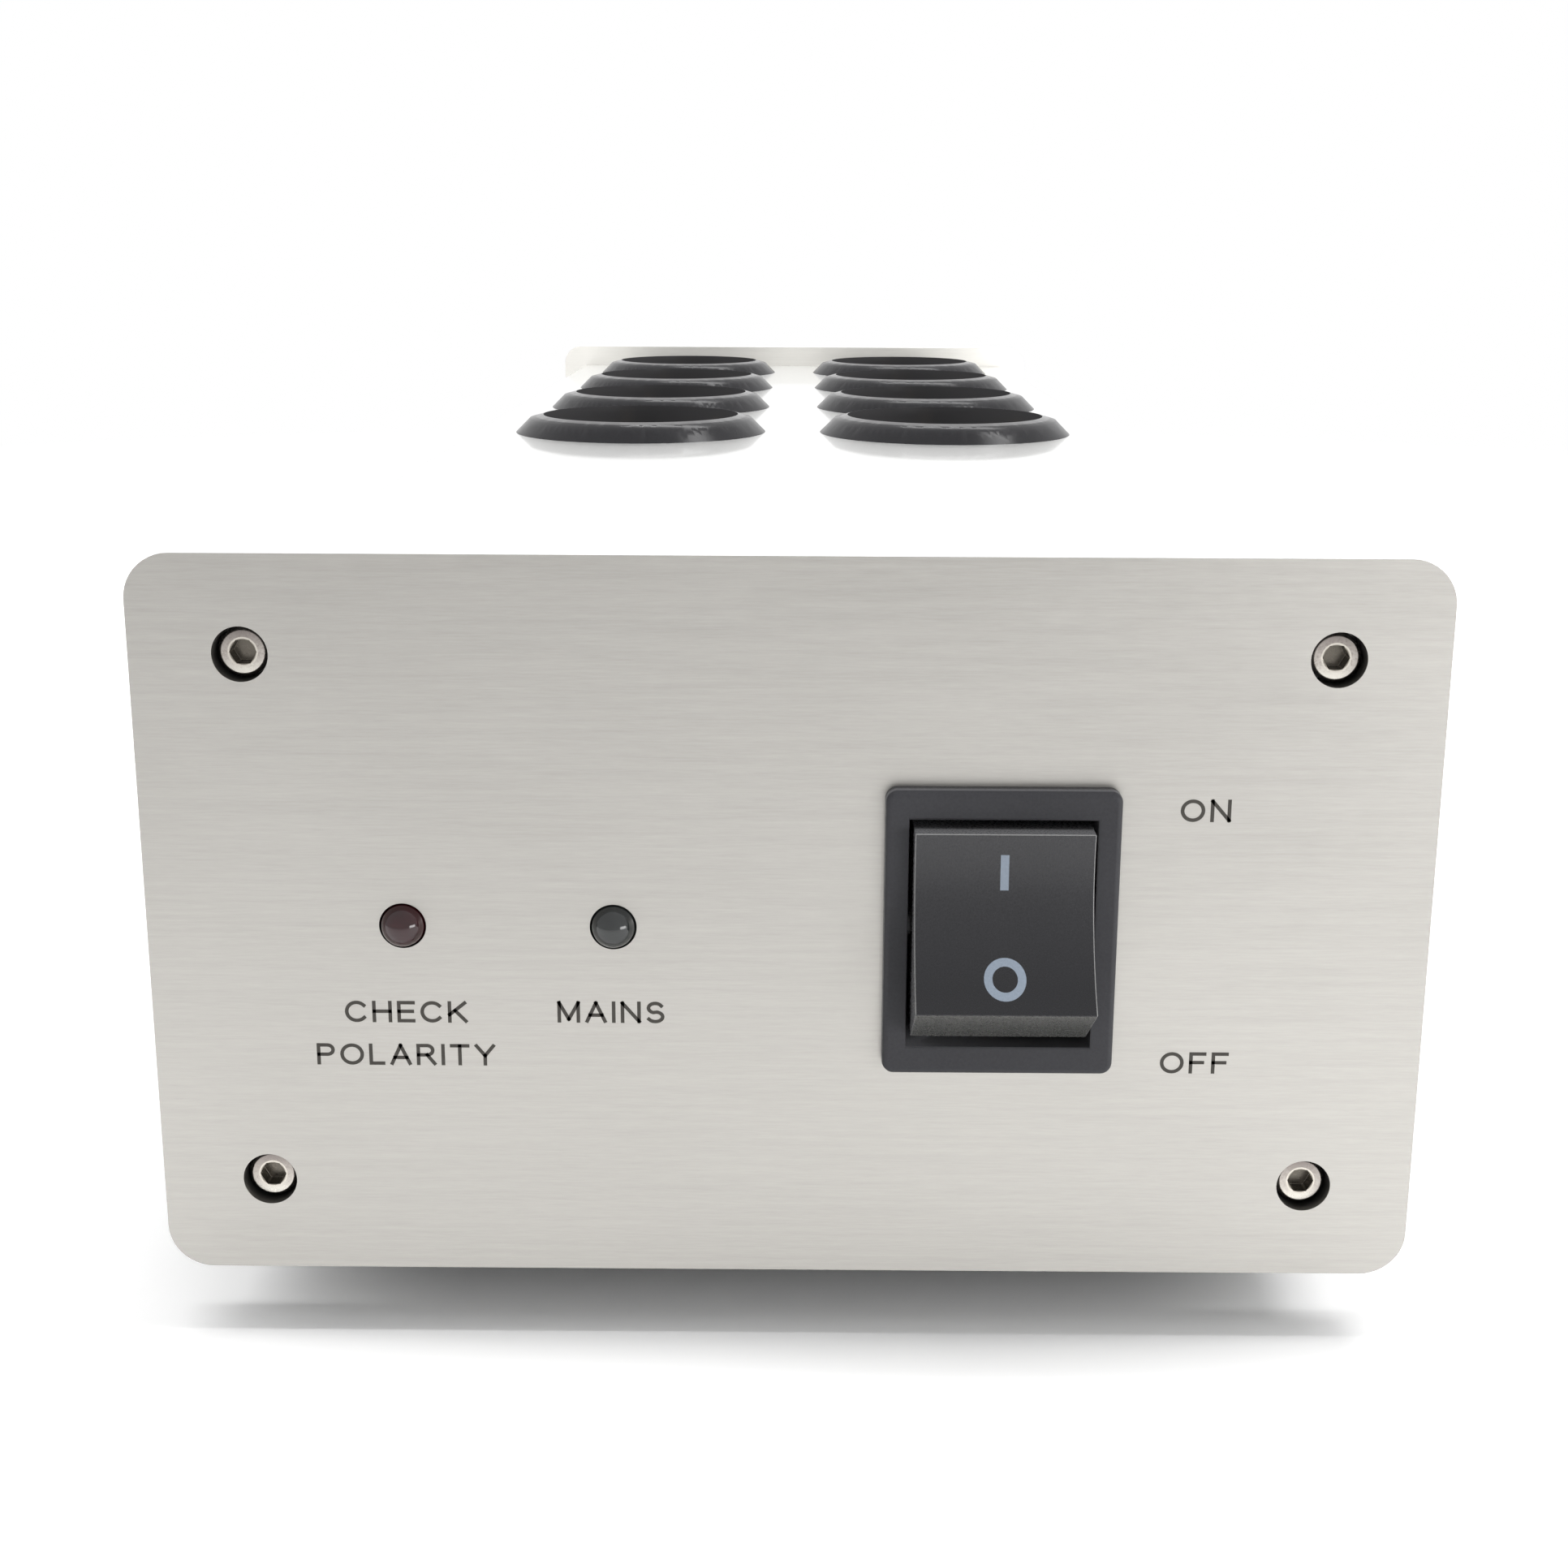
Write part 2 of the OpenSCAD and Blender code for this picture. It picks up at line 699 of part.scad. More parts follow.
// A contact sleeve that grips one plug pin, with its tail down to the busbar
module contact_sleeve() {
    difference() {
        union() {
            translate([0, 0, sleeve_low_z]) cylinder(r = sleeve_r, h = sleeve_high_z - sleeve_low_z);
            translate([0, 0, base_low_z]) cylinder(r = sleeve_tail_r, h = base_floor + cut);
        }
        translate([0, 0, sleeve_low_z + sleeve_floor])
            cylinder(r = sleeve_bore_r, h = sleeve_high_z - sleeve_low_z);
    }
}

module live_contacts() color("#c8923a") at_outlets()
    translate([-pin_pitch / 2, 0, 0]) contact_sleeve();

module neutral_contacts() color("#c8923a") at_outlets()
    translate([pin_pitch / 2, 0, 0]) contact_sleeve();

module outlet_screws() color("#b9b7b1") at_outlets()
    translate([0, 0, cup_floor_z - central_seat]) difference() {
        union() {
            cylinder(r = central_head_r, h = central_head_h);
            translate([0, 0, -central_screw_len])
                cylinder(r = central_screw_r, h = central_screw_len + central_head_h / 2);
        }
        for (turn = [0, 90])
            rotate([0, 0, turn])
                box([-central_head_r * drive_share, -drive_w / 2, central_head_h / 2],
                    [central_head_r * drive_share, drive_w / 2, central_head_h + cut]);
    }

// A busbar: one bar under each column and a link across them
module busbar(x, near, far, link_y, top_z) {
    for (column = [-column_pitch / 2, column_pitch / 2])
        box([column + x - bar_w / 2, min(near, link_y), top_z - bar_t],
            [column + x + bar_w / 2, max(far, link_y + bar_w), top_z]);
    box([x - column_pitch / 2, link_y, top_z - bar_t], [x + column_pitch / 2, link_y + bar_w, top_z]);
}

live_near_y = first_row_y - contact_y - bar_end;
live_link_y = live_near_y - bar_w;
neutral_near_y = first_row_y + contact_y - bar_end;
neutral_link_y = last_row_y + contact_y + bar_end;
earth_near_y = first_row_y + tail_y - bar_end;
earth_link_y = last_row_y + tail_y - bar_end;

module live_busbar() color("#b87545")
    busbar(-contact_x, live_near_y, last_row_y - contact_y + bar_end, live_link_y, bar_high_z);

module neutral_busbar() color("#b87545")
    busbar(contact_x, neutral_near_y, neutral_link_y, neutral_link_y, bar_high_z);

module earth_busbar() color("#b87545")
    busbar(tail_x, earth_near_y, earth_link_y, earth_link_y, earth_bar_high_z);

// Rocker switch, drawn round its own middle on the panel's face
module at_switch() {
    translate([switch_x, 0, mid_z]) children();
}

module switch_housing() color("#2a2a2d") at_switch() difference() {
    union() {
        profile_y(-bezel_t, 0) rounded(bezel_w, bezel_h, bezel_corner_r);
        box([-housing_w / 2, -cut, -housing_h / 2], [housing_w / 2, housing_depth, housing_h / 2]);
        for (side = [-1, 1])
            translate([0, clip_land, side * housing_h / 2])
                box([-wing_w / 2, 0, -wing_out], [wing_w / 2, wing_len, wing_out]);
    }
    box([-well_w / 2, -bezel_t - cut, -well_h / 2], [well_w / 2, housing_floor_y, well_h / 2]);
    translate([-housing_w / 2 - cut, pivot_depth, 0]) rotate([0, 90, 0])
        cylinder(r = trunnion_r + running_gap, h = housing_w + 2 * cut);
    for (x = [-pole_x, pole_x], z = [0, -contact_arm])
        box([x - blade_w / 2 - set_gap, housing_floor_y - cut, z - blade_t / 2 - set_gap],
            [x + blade_w / 2 + set_gap, housing_depth + cut, z + blade_t / 2 + set_gap]);
}

// Puts its children in the rocker's own frame, tilted to its rest with the upper end in
module on_rocker() {
    at_switch() translate([0, pivot_depth, 0]) rotate([-rocker_tilt, 0, 0]) children();
}

// The rocker's side outline, its face at negative x and its length along y
module rocker_outline() {
    difference() {
        union() {
            polygon([
                [-rocker_rise, rocker_face_l / 2], [-rocker_shoulder, rocker_shoulder_z],
                [-rocker_shoulder, -rocker_shoulder_z], [-rocker_rise, -rocker_face_l / 2]
            ]);
            intersection() {
                circle(rocker_end_r);
                translate([-rocker_shoulder, -rocker_end_r])
                    square([rocker_skirt + rocker_shoulder, 2 * rocker_end_r]);
            }
        }
        translate([rocker_dish - rocker_rise - face_bow_r, 0]) circle(face_bow_r);
    }
}

// Turns an outline in x and y into a slab across x, with the outline's x along y and its y along z
module slab_x(w) {
    rotate([0, 0, 90]) rotate([90, 0, 0]) linear_extrude(w, center = true) children();
}

module switch_rocker() color("#2d2d30") on_rocker() {
    difference() {
        slab_x(rocker_w) rocker_outline();
        box([-rocker_w / 2 + rocker_wall, -rocker_crown, -rocker_face_l / 2 + rocker_wall],
            [rocker_w / 2 - rocker_wall, rocker_skirt + cut, rocker_face_l / 2 - rocker_wall]);
    }
    for (side = [-1, 1])
        translate([side * (trunnion_reach + rocker_w / 2 - rocker_wall / 2) / 2, 0, 0])
            rotate([0, 90, 0])
                cylinder(r = trunnion_r, h = trunnion_reach - rocker_w / 2 + rocker_wall / 2,
                    center = true);
    for (x = [-pole_x, pole_x])
        translate([x, 0, 0]) difference() {
            rod_y(tube_r, -rocker_crown - rocker_wall / 2, tube_end, 0, 0);
            rod_y(tube_bore_r, 0, tube_end + cut, 0, 0);
        }
}

module switch_plungers() color("#d8d2c0") on_rocker()
    for (x = [-pole_x, pole_x])
        translate([x, plunger_end - tube_bore_r + running_gap, 0]) {
            rod_y(tube_bore_r - running_gap, tube_bore_r - plunger_len, 0, 0, 0);
            sphere(tube_bore_r - running_gap);
        }

module switch_springs() color("#a0a3a8") on_rocker()
    for (x = [-pole_x, pole_x])
        difference() {
            rod_y(tube_bore_r - running_gap, 0,
                plunger_end + running_gap - plunger_len, x, 0);
            rod_y(tube_bore_r / 2, -cut, plunger_end, x, 0);
        }

module contact_bridges() color("#c8a25a") at_switch()
    for (x = [-pole_x, pole_x])
        translate([x, bridge_seat_y, 0]) rotate([bridge_tilt, 0, 0])
            box([-bridge_w / 2, -bridge_t, -bridge_half], [bridge_w / 2, 0, bridge_half]);

// A terminal blade that runs out through the housing's back
module terminal_blade() {
    box([-blade_w / 2, housing_floor_y - cut, -blade_t / 2],
        [blade_w / 2, housing_depth + blade_len, blade_t / 2]);
}

module switch_terminals() color("#cfc9b8") at_switch()
    for (x = [-pole_x, pole_x]) {
        translate([x, 0, 0]) {
            terminal_blade();
            box([-post_w / 2, bridge_seat_y + fulcrum_w / 2, -post_t / 2],
                [post_w / 2, housing_floor_y, post_t / 2]);
            translate([0, bridge_seat_y + fulcrum_w / 2 + running_gap, 0]) rotate([0, 90, 0])
                cylinder(r = fulcrum_w / 2, h = post_w, center = true);
        }
        translate([x, 0, -contact_arm]) {
            terminal_blade();
            rod_y(contact_r, contact_y_in, housing_floor_y, 0, 0);
        }
    }

// Lamps
module lamp(x) {
    translate([x, 0, mid_z]) {
        rod_y(lamp_r, lamp_dome_y, lamp_collar_y + lamp_collar_t / 2, 0, 0);
        translate([0, lamp_dome_y, 0]) sphere(lamp_r);
        rod_y(lamp_collar_r, lamp_collar_y, lamp_board_y, 0, 0);
        for (side = [-1, 1])
            translate([side * lamp_lead_gap / 2, lamp_board_y - lamp_collar_t / 2, 0])
                box([-lamp_lead / 2, 0, -lamp_lead / 2],
                    [lamp_lead / 2, lamp_collar_t / 2 + lamp_board_t + lamp_lead_len, lamp_lead / 2]);
    }
}

module lamp_left() color("#4a1519") lamp(-left_lamp_x);

module lamp_right() color("#3a4240") lamp(-right_lamp_x);

module lamp_board() color("#3f6b45") difference() {
    box([-left_lamp_x - lamp_board_margin, lamp_board_y, mid_z - lamp_board_h / 2],
        [-right_lamp_x + lamp_board_margin, lamp_board_y + lamp_board_t, mid_z + lamp_board_h / 2]);
    for (x = lamp_xs, side = [-1, 1])
        translate([x + side * lamp_lead_gap / 2, lamp_board_y, mid_z])
            box([-lamp_lead / 2 - set_gap, -cut, -lamp_lead / 2 - set_gap],
                [lamp_lead / 2 + set_gap, lamp_board_t + cut, lamp_lead / 2 + set_gap]);
    for (x = spacer_xs)
        rod_y(spacer_stud_r + set_gap, lamp_board_y - cut, lamp_board_y + lamp_board_t + cut, x, mid_z);
}

module lamp_spacers() color("#e8e6e0")
    for (x = spacer_xs) {
        rod_y(spacer_r, panel_t, lamp_board_y, x, mid_z);
        rod_y(spacer_stud_r, panel_t - spacer_stud_len,
            lamp_board_y + lamp_board_t + spacer_head_h / 2, x, mid_z);
        rod_y(spacer_head_r, lamp_board_y + lamp_board_t,
            lamp_board_y + lamp_board_t + spacer_head_h, x, mid_z);
    }

// Mains inlet, drawn round its own middle
module at_inlet() {
    translate([-inlet_x, 0, inlet_z]) children();
}

module inlet_housing() color("#262628") at_inlet() difference() {
    union() {
        profile_y(unit_len, unit_len + inlet_flange_t)
            rounded(inlet_flange_w, inlet_flange_h, inlet_flange_r);
        box([-inlet_body_w / 2, inlet_back_y, -inlet_body_h / 2],
            [inlet_body_w / 2, unit_len + inlet_flange_t / 2, inlet_body_h / 2]);
    }
    box([-inlet_recess_w / 2, inlet_floor_y, -inlet_recess_h / 2],
        [inlet_recess_w / 2, unit_len + inlet_flange_t + cut, inlet_recess_h / 2]);
    for (side = [-1, 1])
        translate([side * inlet_screw_x, unit_len + inlet_flange_t, 0]) rotate([90, 0, 0]) {
            cylinder(r = inlet_screw_r + screw_hole_gap, h = inlet_flange_t + cut);
            translate([0, 0, set_gap]) cylinder(r1 = inlet_head_r, r2 = inlet_screw_r, h = inlet_head_t);
            translate([0, 0, -cut]) cylinder(r = inlet_head_r, h = cut + set_gap);
        }
    for (p = inlet_pin_places)
        translate([p[0], 0, p[1]])
            box([-inlet_pin_w / 2 - set_gap, inlet_back_y - cut, -inlet_pin_t / 2 - set_gap],
                [inlet_pin_w / 2 + set_gap, inlet_floor_y + cut, inlet_pin_t / 2 + set_gap]);
}

module inlet_pins() color("#cfcdc6") at_inlet()
    for (p = inlet_pin_places)
        translate([p[0], 0, p[1]]) {
            box([-inlet_pin_w / 2, inlet_back_y, -inlet_pin_t / 2],
                [inlet_pin_w / 2, unit_len + inlet_flange_t - inlet_pin_short, inlet_pin_t / 2]);
            box([-blade_w / 2, inlet_back_y - inlet_tab_len, -blade_t / 2],
                [blade_w / 2, inlet_back_y + cut, blade_t / 2]);
        }

module inlet_fasteners() color("#b4b6b9") at_inlet()
    for (side = [-1, 1])
        translate([side * inlet_screw_x, unit_len + inlet_flange_t, 0]) rotate([90, 0, 0]) {
            difference() {
                union() {
                    cylinder(r1 = inlet_head_r, r2 = inlet_screw_r, h = inlet_head_t);
                    cylinder(r = inlet_screw_r, h = inlet_screw_len);
                }
                for (turn = [0, 90])
                    rotate([0, 0, turn])
                        box([-inlet_head_r * drive_share, -drive_w / 2, -cut],
                            [inlet_head_r * drive_share, drive_w / 2, inlet_head_t / 2]);
            }
            translate([0, 0, inlet_flange_t + panel_t]) difference() {
                hex_rod(inlet_nut_flats, inlet_nut_t);
                translate([0, 0, -cut])
                    cylinder(r = inlet_screw_r + set_gap, h = inlet_nut_t + 2 * cut);
            }
        }

// Breaker, drawn round its button's axis
module at_breaker() {
    translate([breaker_x, 0, inlet_z]) children();
}

module breaker_body() color("#2f2f33") at_breaker() {
    difference() {
        union() {
            box([-breaker_w / 2, breaker_back_y, -breaker_h / 2],
                [breaker_w / 2, case_far_y, breaker_h / 2]);
            rod_y(neck_r, case_far_y - cut, unit_len + neck_out, 0, 0);
        }
        rod_y(button_r + running_gap, button_low_y - cut, unit_len + neck_out + cut, 0, 0);
        rod_y(button_collar_r + running_gap, button_low_y - running_gap, case_far_y, 0, 0);
    }
    for (side = [-1, 1])
        translate([side * breaker_blade_x, 0, 0])
            box([-blade_w / 2, breaker_back_y - blade_len, -blade_t / 2],
                [blade_w / 2, breaker_back_y + cut, blade_t / 2]);
}

module breaker_nut() color("#b4b6b9") at_breaker() difference() {
    translate([0, unit_len + neck_nut_t, 0]) rotate([90, 0, 0]) hex_rod(neck_nut_flats, neck_nut_t);
    rod_y(neck_r + set_gap, unit_len - cut, unit_len + neck_nut_t + cut, 0, 0);
}

module breaker_button() color("#9c2a26") at_breaker() difference() {
    union() {
        rod_y(button_r, button_low_y, unit_len + neck_out + button_out, 0, 0);
        rod_y(button_collar_r, button_low_y, button_low_y + button_collar_t, 0, 0);
    }
    rod_y(button_r * button_dish_share, unit_len + neck_out + button_out - button_dish,
        unit_len + neck_out + button_out + cut, 0, 0);
}

// Filter board and what stands on it
module filter_board() color("#3f6b45") difference() {
    box([-board_w / 2, board_near_y, board_z], [board_w / 2, board_near_y + board_l, board_top_z]);
    for (p = standoff_places)
        translate([p[0], p[1], board_z - cut])
            cylinder(r = standoff_stud_r + set_gap, h = board_t + 2 * cut);
}

module board_standoffs() color("#e8e6e0")
    for (p = standoff_places)
        translate([p[0], p[1], 0]) {
            translate([0, 0, floor_z]) hex_rod(standoff_flats, standoff_h);
            translate([0, 0, case_low_z])
                cylinder(r = standoff_stud_r, h = board_top_z - case_low_z + standoff_head_h / 2);
            translate([0, 0, board_top_z]) cylinder(r = standoff_head_r, h = standoff_head_h);
        }

module at_chokes() {
    for (side = [-1, 1])
        translate([choke_x, board_mid_y + side * choke_out, board_top_z + choke_lift]) children();
}

module choke_cores() color("#3b4a3f") at_chokes() difference() {
    cylinder(r = core_r, h = core_h);
    translate([0, 0, -cut]) cylinder(r = core_bore_r, h = core_h + 2 * cut);
}

// One winding: a thin layer round the core with its turns standing out of it
module winding() {
    low = choke_gap;
    difference() {
        union() {
            intersection() {
                translate([0, 0, -winding_t - low])
                    cylinder(r = core_r + winding_t + low, h = core_h + 2 * (winding_t + low));
                rotate([0, 0, -winding_arc / 2]) rotate_extrude(angle = winding_arc)
                    translate([0, -core_h]) square([2 * core_r, 3 * core_h]);
            }
            for (k = [0 : turns - 1])
                rotate([0, 0, (k + 0.5 - turns / 2) * winding_arc / turns])
                    box([core_bore_r - turn_out - low, -turn_w / 2, -turn_out - low],
                        [core_r + turn_out + low, turn_w / 2, core_h + turn_out + low]);
        }
        difference() {
            translate([0, 0, -low]) cylinder(r = core_r + low, h = core_h + 2 * low);
            translate([0, 0, -low - cut]) cylinder(r = core_bore_r - low, h = core_h + 2 * (low + cut));
        }
        translate([0, 0, -core_h]) cylinder(r = core_bore_r - turn_out - low, h = 3 * core_h);
    }
}

module choke_windings() color("#a8552e") at_chokes()
    for (side = [0, 180]) rotate([0, 0, side]) winding();

module film_capacitors() color("#c9a23c")
    for (k = [0 : cap_count - 1])
        translate([cap_x, cap_first_y + k * cap_pitch, board_top_z])
            box([-cap_w / 2, -cap_t / 2, 0], [cap_w / 2, cap_t / 2, cap_h]);

module varistors() color("#2f5f8f")
    for (k = [0 : varistor_count - 1])
        translate([varistor_x, varistor_first_y + k * varistor_pitch,
                board_top_z + varistor_lift + varistor_r]) {
            rod_y(varistor_r, -varistor_t / 2, varistor_t / 2, 0, 0);
            for (side = [-1, 1])
                translate([side * lead_gap / 2, 0, 0])
                    box([-lead_w / 2, -lead_w / 2, -varistor_lift - varistor_r],
                        [lead_w / 2, lead_w / 2, 0]);
        }

// A wire is swept along its points, with each corner eased by a short curve
function unit(v) = v / norm(v);
function eased(points) = [
    points[0],
    for (k = [1 : len(points) - 2])
        let (
            back = points[k - 1] - points[k],
            ahead = points[k + 1] - points[k],
            a = points[k] + unit(back) * min(wire_bend, norm(back) * bend_share),
            b = points[k] + unit(ahead) * min(wire_bend, norm(ahead) * bend_share)
        )
        each [for (t = bend_shares) (1 - t) * (1 - t) * a + 2 * t * (1 - t) * points[k] + t * t * b],
    points[len(points) - 1]
];
function headings(points) = [
    for (k = [0 : len(points) - 1])
        k == 0 ? unit(points[1] - points[0])
        : k == len(points) - 1 ? unit(points[k] - points[k - 1])
        : unit(unit(points[k + 1] - points[k]) + unit(points[k] - points[k - 1]))
];
function carried(ways, k, up) = k == len(ways) ? []
    : let (u = unit(up - (up * ways[k]) * ways[k])) concat([u], carried(ways, k + 1, u));
function loop_of(centre, way, up, r) = [
    for (k = [0 : wire_sides - 1])
        centre + r * (cos(360 * k / wire_sides) * up + sin(360 * k / wire_sides) * cross(way, up))
];

module wire(points, first_up, r = wire_r) {
    path = eased(points);
    ways = headings(path);
    ups = carried(ways, 0, first_up);
    rings = [for (k = [0 : len(path) - 1]) each loop_of(path[k], ways[k], ups[k], r)];
    last = (len(path) - 1) * wire_sides;
    polyhedron(points = rings, faces = [
        [for (k = [wire_sides - 1 : -1 : 0]) k],
        for (j = [0 : len(path) - 2], k = [0 : wire_sides - 1])
            let (a = j * wire_sides + k, b = j * wire_sides + (k + 1) % wire_sides)
            each [[a, b, a + wire_sides], [b, b + wire_sides, a + wire_sides]],
        [for (k = [0 : wire_sides - 1]) last + k]
    ]);
}

// Ends of the wires
switch_end_y = housing_depth + blade_len;
inlet_end_y = inlet_back_y - inlet_tab_len;
breaker_end_y = breaker_back_y - blade_len;
pole_right_x = switch_x + pole_x;
pole_left_x = switch_x - pole_x;
pad_near_y = board_near_y + pad_in;
pad_far_y = board_near_y + board_l - pad_in;
inlet_low_z = inlet_z - inlet_pin_z;
inlet_high_z = inlet_z + inlet_pin_z;
wire_out = 8;
wire_turn = 14;
lamp_wire_out = 7;
lamp_wire_drop = 4;

// A wire from the filter board's far edge to the underside of a busbar
module bar_wire(x, y, z) {
    wire([
        [x, pad_far_y, board_top_z], [x, pad_far_y, board_top_z + wire_out],
        [x, y, z - wire_out], [x, y, z]
    ], [1, 0, 0]);
}

// A thin wire from the lamp board's back down to the filter board
module lamp_wire(x) {
    wire([
        [x, lamp_board_y + lamp_board_t, mid_z - lamp_wire_drop],
        [x, lamp_board_y + lamp_board_t + wire_out, mid_z - lamp_wire_drop],
        [x, pad_near_y, board_top_z + wire_out], [x, pad_near_y, board_top_z]
    ], [1, 0, 0], lamp_wire_r);
}

module live_wires() color("#7a4a2a") {
    live_x = -inlet_x + inlet_pin_x;
    near_blade_x = breaker_x - breaker_blade_x;
    far_blade_x = breaker_x + breaker_blade_x;
    wire([
        [live_x, inlet_end_y, inlet_low_z], [live_x, inlet_end_y - wire_out, inlet_low_z],
        [live_x + wire_turn, breaker_end_y - wire_turn, inlet_low_z],
        [near_blade_x, breaker_end_y - wire_out, inlet_z], [near_blade_x, breaker_end_y, inlet_z]
    ], [0, 0, 1]);
    wire([
        [far_blade_x, breaker_end_y, inlet_z], [far_blade_x, breaker_end_y - wire_out, inlet_z],
        [run_x, breaker_end_y - wire_out - wire_turn, run_z],
        [run_x, board_near_y + wire_turn, run_z],
        [pole_right_x + wire_turn, board_near_y - wire_out, (run_z + mid_z) / 2],
        [pole_right_x, switch_end_y + wire_out, mid_z], [pole_right_x, switch_end_y, mid_z]
    ], [0, 0, 1]);
    wire([
        [pole_right_x, switch_end_y, mid_z - contact_arm],
        [pole_right_x, pad_near_y - wire_out, mid_z - contact_arm],
        [pole_right_x, pad_near_y, board_top_z + wire_out], [pole_right_x, pad_near_y, board_top_z]
    ], [1, 0, 0]);
    bar_wire(0, live_link_y + bar_w / 2, bar_high_z - bar_t);
    lamp_wire(-right_lamp_x - lamp_wire_out);
}

module neutral_wires() color("#2b4f8f") {
    neutral_x = -inlet_x - inlet_pin_x;
    wire([
        [neutral_x, inlet_end_y, inlet_low_z], [neutral_x, inlet_end_y - wire_out, inlet_low_z],
        [-run_x, inlet_end_y - wire_out - wire_turn, run_z],
        [-run_x, board_near_y + wire_turn, run_z],
        [-run_x + wire_turn, board_near_y - wire_out, run_z],
        [pole_left_x - wire_turn, switch_end_y + wire_out, mid_z],
        [pole_left_x, switch_end_y + wire_out, mid_z], [pole_left_x, switch_end_y, mid_z]
    ], [0, 0, 1]);
    wire([
        [pole_left_x, switch_end_y, mid_z - contact_arm],
        [pole_left_x, pad_near_y - wire_out, mid_z - contact_arm],
        [pole_left_x, pad_near_y, board_top_z + wire_out], [pole_left_x, pad_near_y, board_top_z]
    ], [1, 0, 0]);
    bar_wire(column_pitch / 2 + contact_x, max(neutral_near_y + bar_end, pad_far_y),
        bar_high_z - bar_t);
    lamp_wire(-left_lamp_x + lamp_wire_out);
}

module earth_wires() color("#7f9a2c") {
    bar_x = -column_pitch / 2 + tail_x;
    wire([
        [-inlet_x, inlet_end_y, inlet_high_z], [-inlet_x, inlet_end_y - wire_out, inlet_high_z],
        [bar_x, inlet_end_y - wire_out - wire_turn, inlet_high_z],
        [bar_x, inlet_end_y - wire_turn - 2 * wire_out, inlet_high_z],
        [bar_x, inlet_end_y - wire_turn - 2 * wire_out, earth_bar_high_z - bar_t]
    ], [0, 0, 1]);
    bar_wire(bar_x, max(earth_near_y + bar_end, pad_far_y), earth_bar_high_z - bar_t);
}

// Sets the part round its origin
module placed() {
    translate([0, origin_y, 0]) children();
}

placed() front_panel();
placed() rear_panel();
placed() case_top();
placed() case_bottom();
placed() front_panel_screws();
placed() rear_panel_screws();
placed() foot(-foot_x, foot_near_y);  // foot_front_left
placed() foot(foot_x, foot_near_y);  // foot_front_right
placed() foot(-foot_x, foot_far_y);  // foot_rear_left
placed() foot(foot_x, foot_far_y);  // foot_rear_right
placed() foot_screws();
placed() foot_nuts();
for (k = [1 : 2 * outlet_rows]) {
    placed() outlet(k);
    placed() outlet_base(k);
}
placed() earth_clips();
placed() live_contacts();
placed() neutral_contacts();
placed() outlet_screws();
placed() live_busbar();
placed() neutral_busbar();
placed() earth_busbar();
placed() switch_housing();
placed() switch_rocker();
placed() switch_plungers();
placed() switch_springs();
placed() contact_bridges();
placed() switch_terminals();
placed() lamp_left();
placed() lamp_right();
placed() lamp_board();
placed() lamp_spacers();
placed() inlet_housing();
placed() inlet_pins();
placed() inlet_fasteners();
placed() breaker_body();
placed() breaker_nut();
placed() breaker_button();
placed() filter_board();
placed() board_standoffs();
placed() choke_cores();
placed() choke_windings();
placed() film_capacitors();
placed() varistors();
placed() live_wires();
placed() neutral_wires();
placed() earth_wires();
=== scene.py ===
"""Looks, lights and camera of the power conditioner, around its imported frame."""

import json
import math

import bmesh
import bpy
from mathutils import Matrix, Vector


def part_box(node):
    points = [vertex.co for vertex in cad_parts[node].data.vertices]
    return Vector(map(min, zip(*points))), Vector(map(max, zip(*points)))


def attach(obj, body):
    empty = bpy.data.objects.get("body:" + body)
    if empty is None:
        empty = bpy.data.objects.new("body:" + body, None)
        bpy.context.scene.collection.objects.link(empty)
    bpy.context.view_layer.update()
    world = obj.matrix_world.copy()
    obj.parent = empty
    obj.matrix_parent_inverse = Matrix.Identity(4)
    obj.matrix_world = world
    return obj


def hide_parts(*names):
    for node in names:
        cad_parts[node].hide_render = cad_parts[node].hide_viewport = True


MM = 0.001
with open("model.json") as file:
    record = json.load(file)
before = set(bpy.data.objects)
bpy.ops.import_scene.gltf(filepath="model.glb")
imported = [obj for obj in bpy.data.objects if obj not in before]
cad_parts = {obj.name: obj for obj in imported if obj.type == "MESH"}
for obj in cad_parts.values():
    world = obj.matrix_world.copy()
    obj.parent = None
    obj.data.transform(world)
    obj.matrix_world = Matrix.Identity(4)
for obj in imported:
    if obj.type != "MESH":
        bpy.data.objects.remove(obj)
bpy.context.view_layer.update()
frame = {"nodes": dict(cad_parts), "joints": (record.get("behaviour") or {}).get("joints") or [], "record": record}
scene = bpy.context.scene

# Places and sizes that the looks are worked out from
PANEL_LOW, PANEL_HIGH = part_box("front_panel")
SWITCH_LOW, SWITCH_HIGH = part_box("switch_housing")
SCREWS_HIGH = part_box("front_panel_screws")[1]
FACE_Y = PANEL_LOW.y
PANEL_MID_Z = (PANEL_LOW.z + PANEL_HIGH.z) / 2
SCREW_HEAD_R = 2.75 * MM
SCREW_X = SCREWS_HIGH.x - SCREW_HEAD_R
SCREW_Z = SCREWS_HIGH.z - SCREW_HEAD_R - PANEL_MID_Z
SWITCH_X = (SWITCH_LOW.x + SWITCH_HIGH.x) / 2
OUTLETS = 8
OUTLET_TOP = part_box("outlet_1")[1].z
LAND_DEPTH = 0.4 * MM

# Past these distances from the panel's middle a turned face is its own edge, not a hole's wall
EDGE_BAND = 4.5 * MM
EDGE_X = PANEL_HIGH.x - EDGE_BAND
EDGE_Z = PANEL_HIGH.z - EDGE_BAND - PANEL_MID_Z

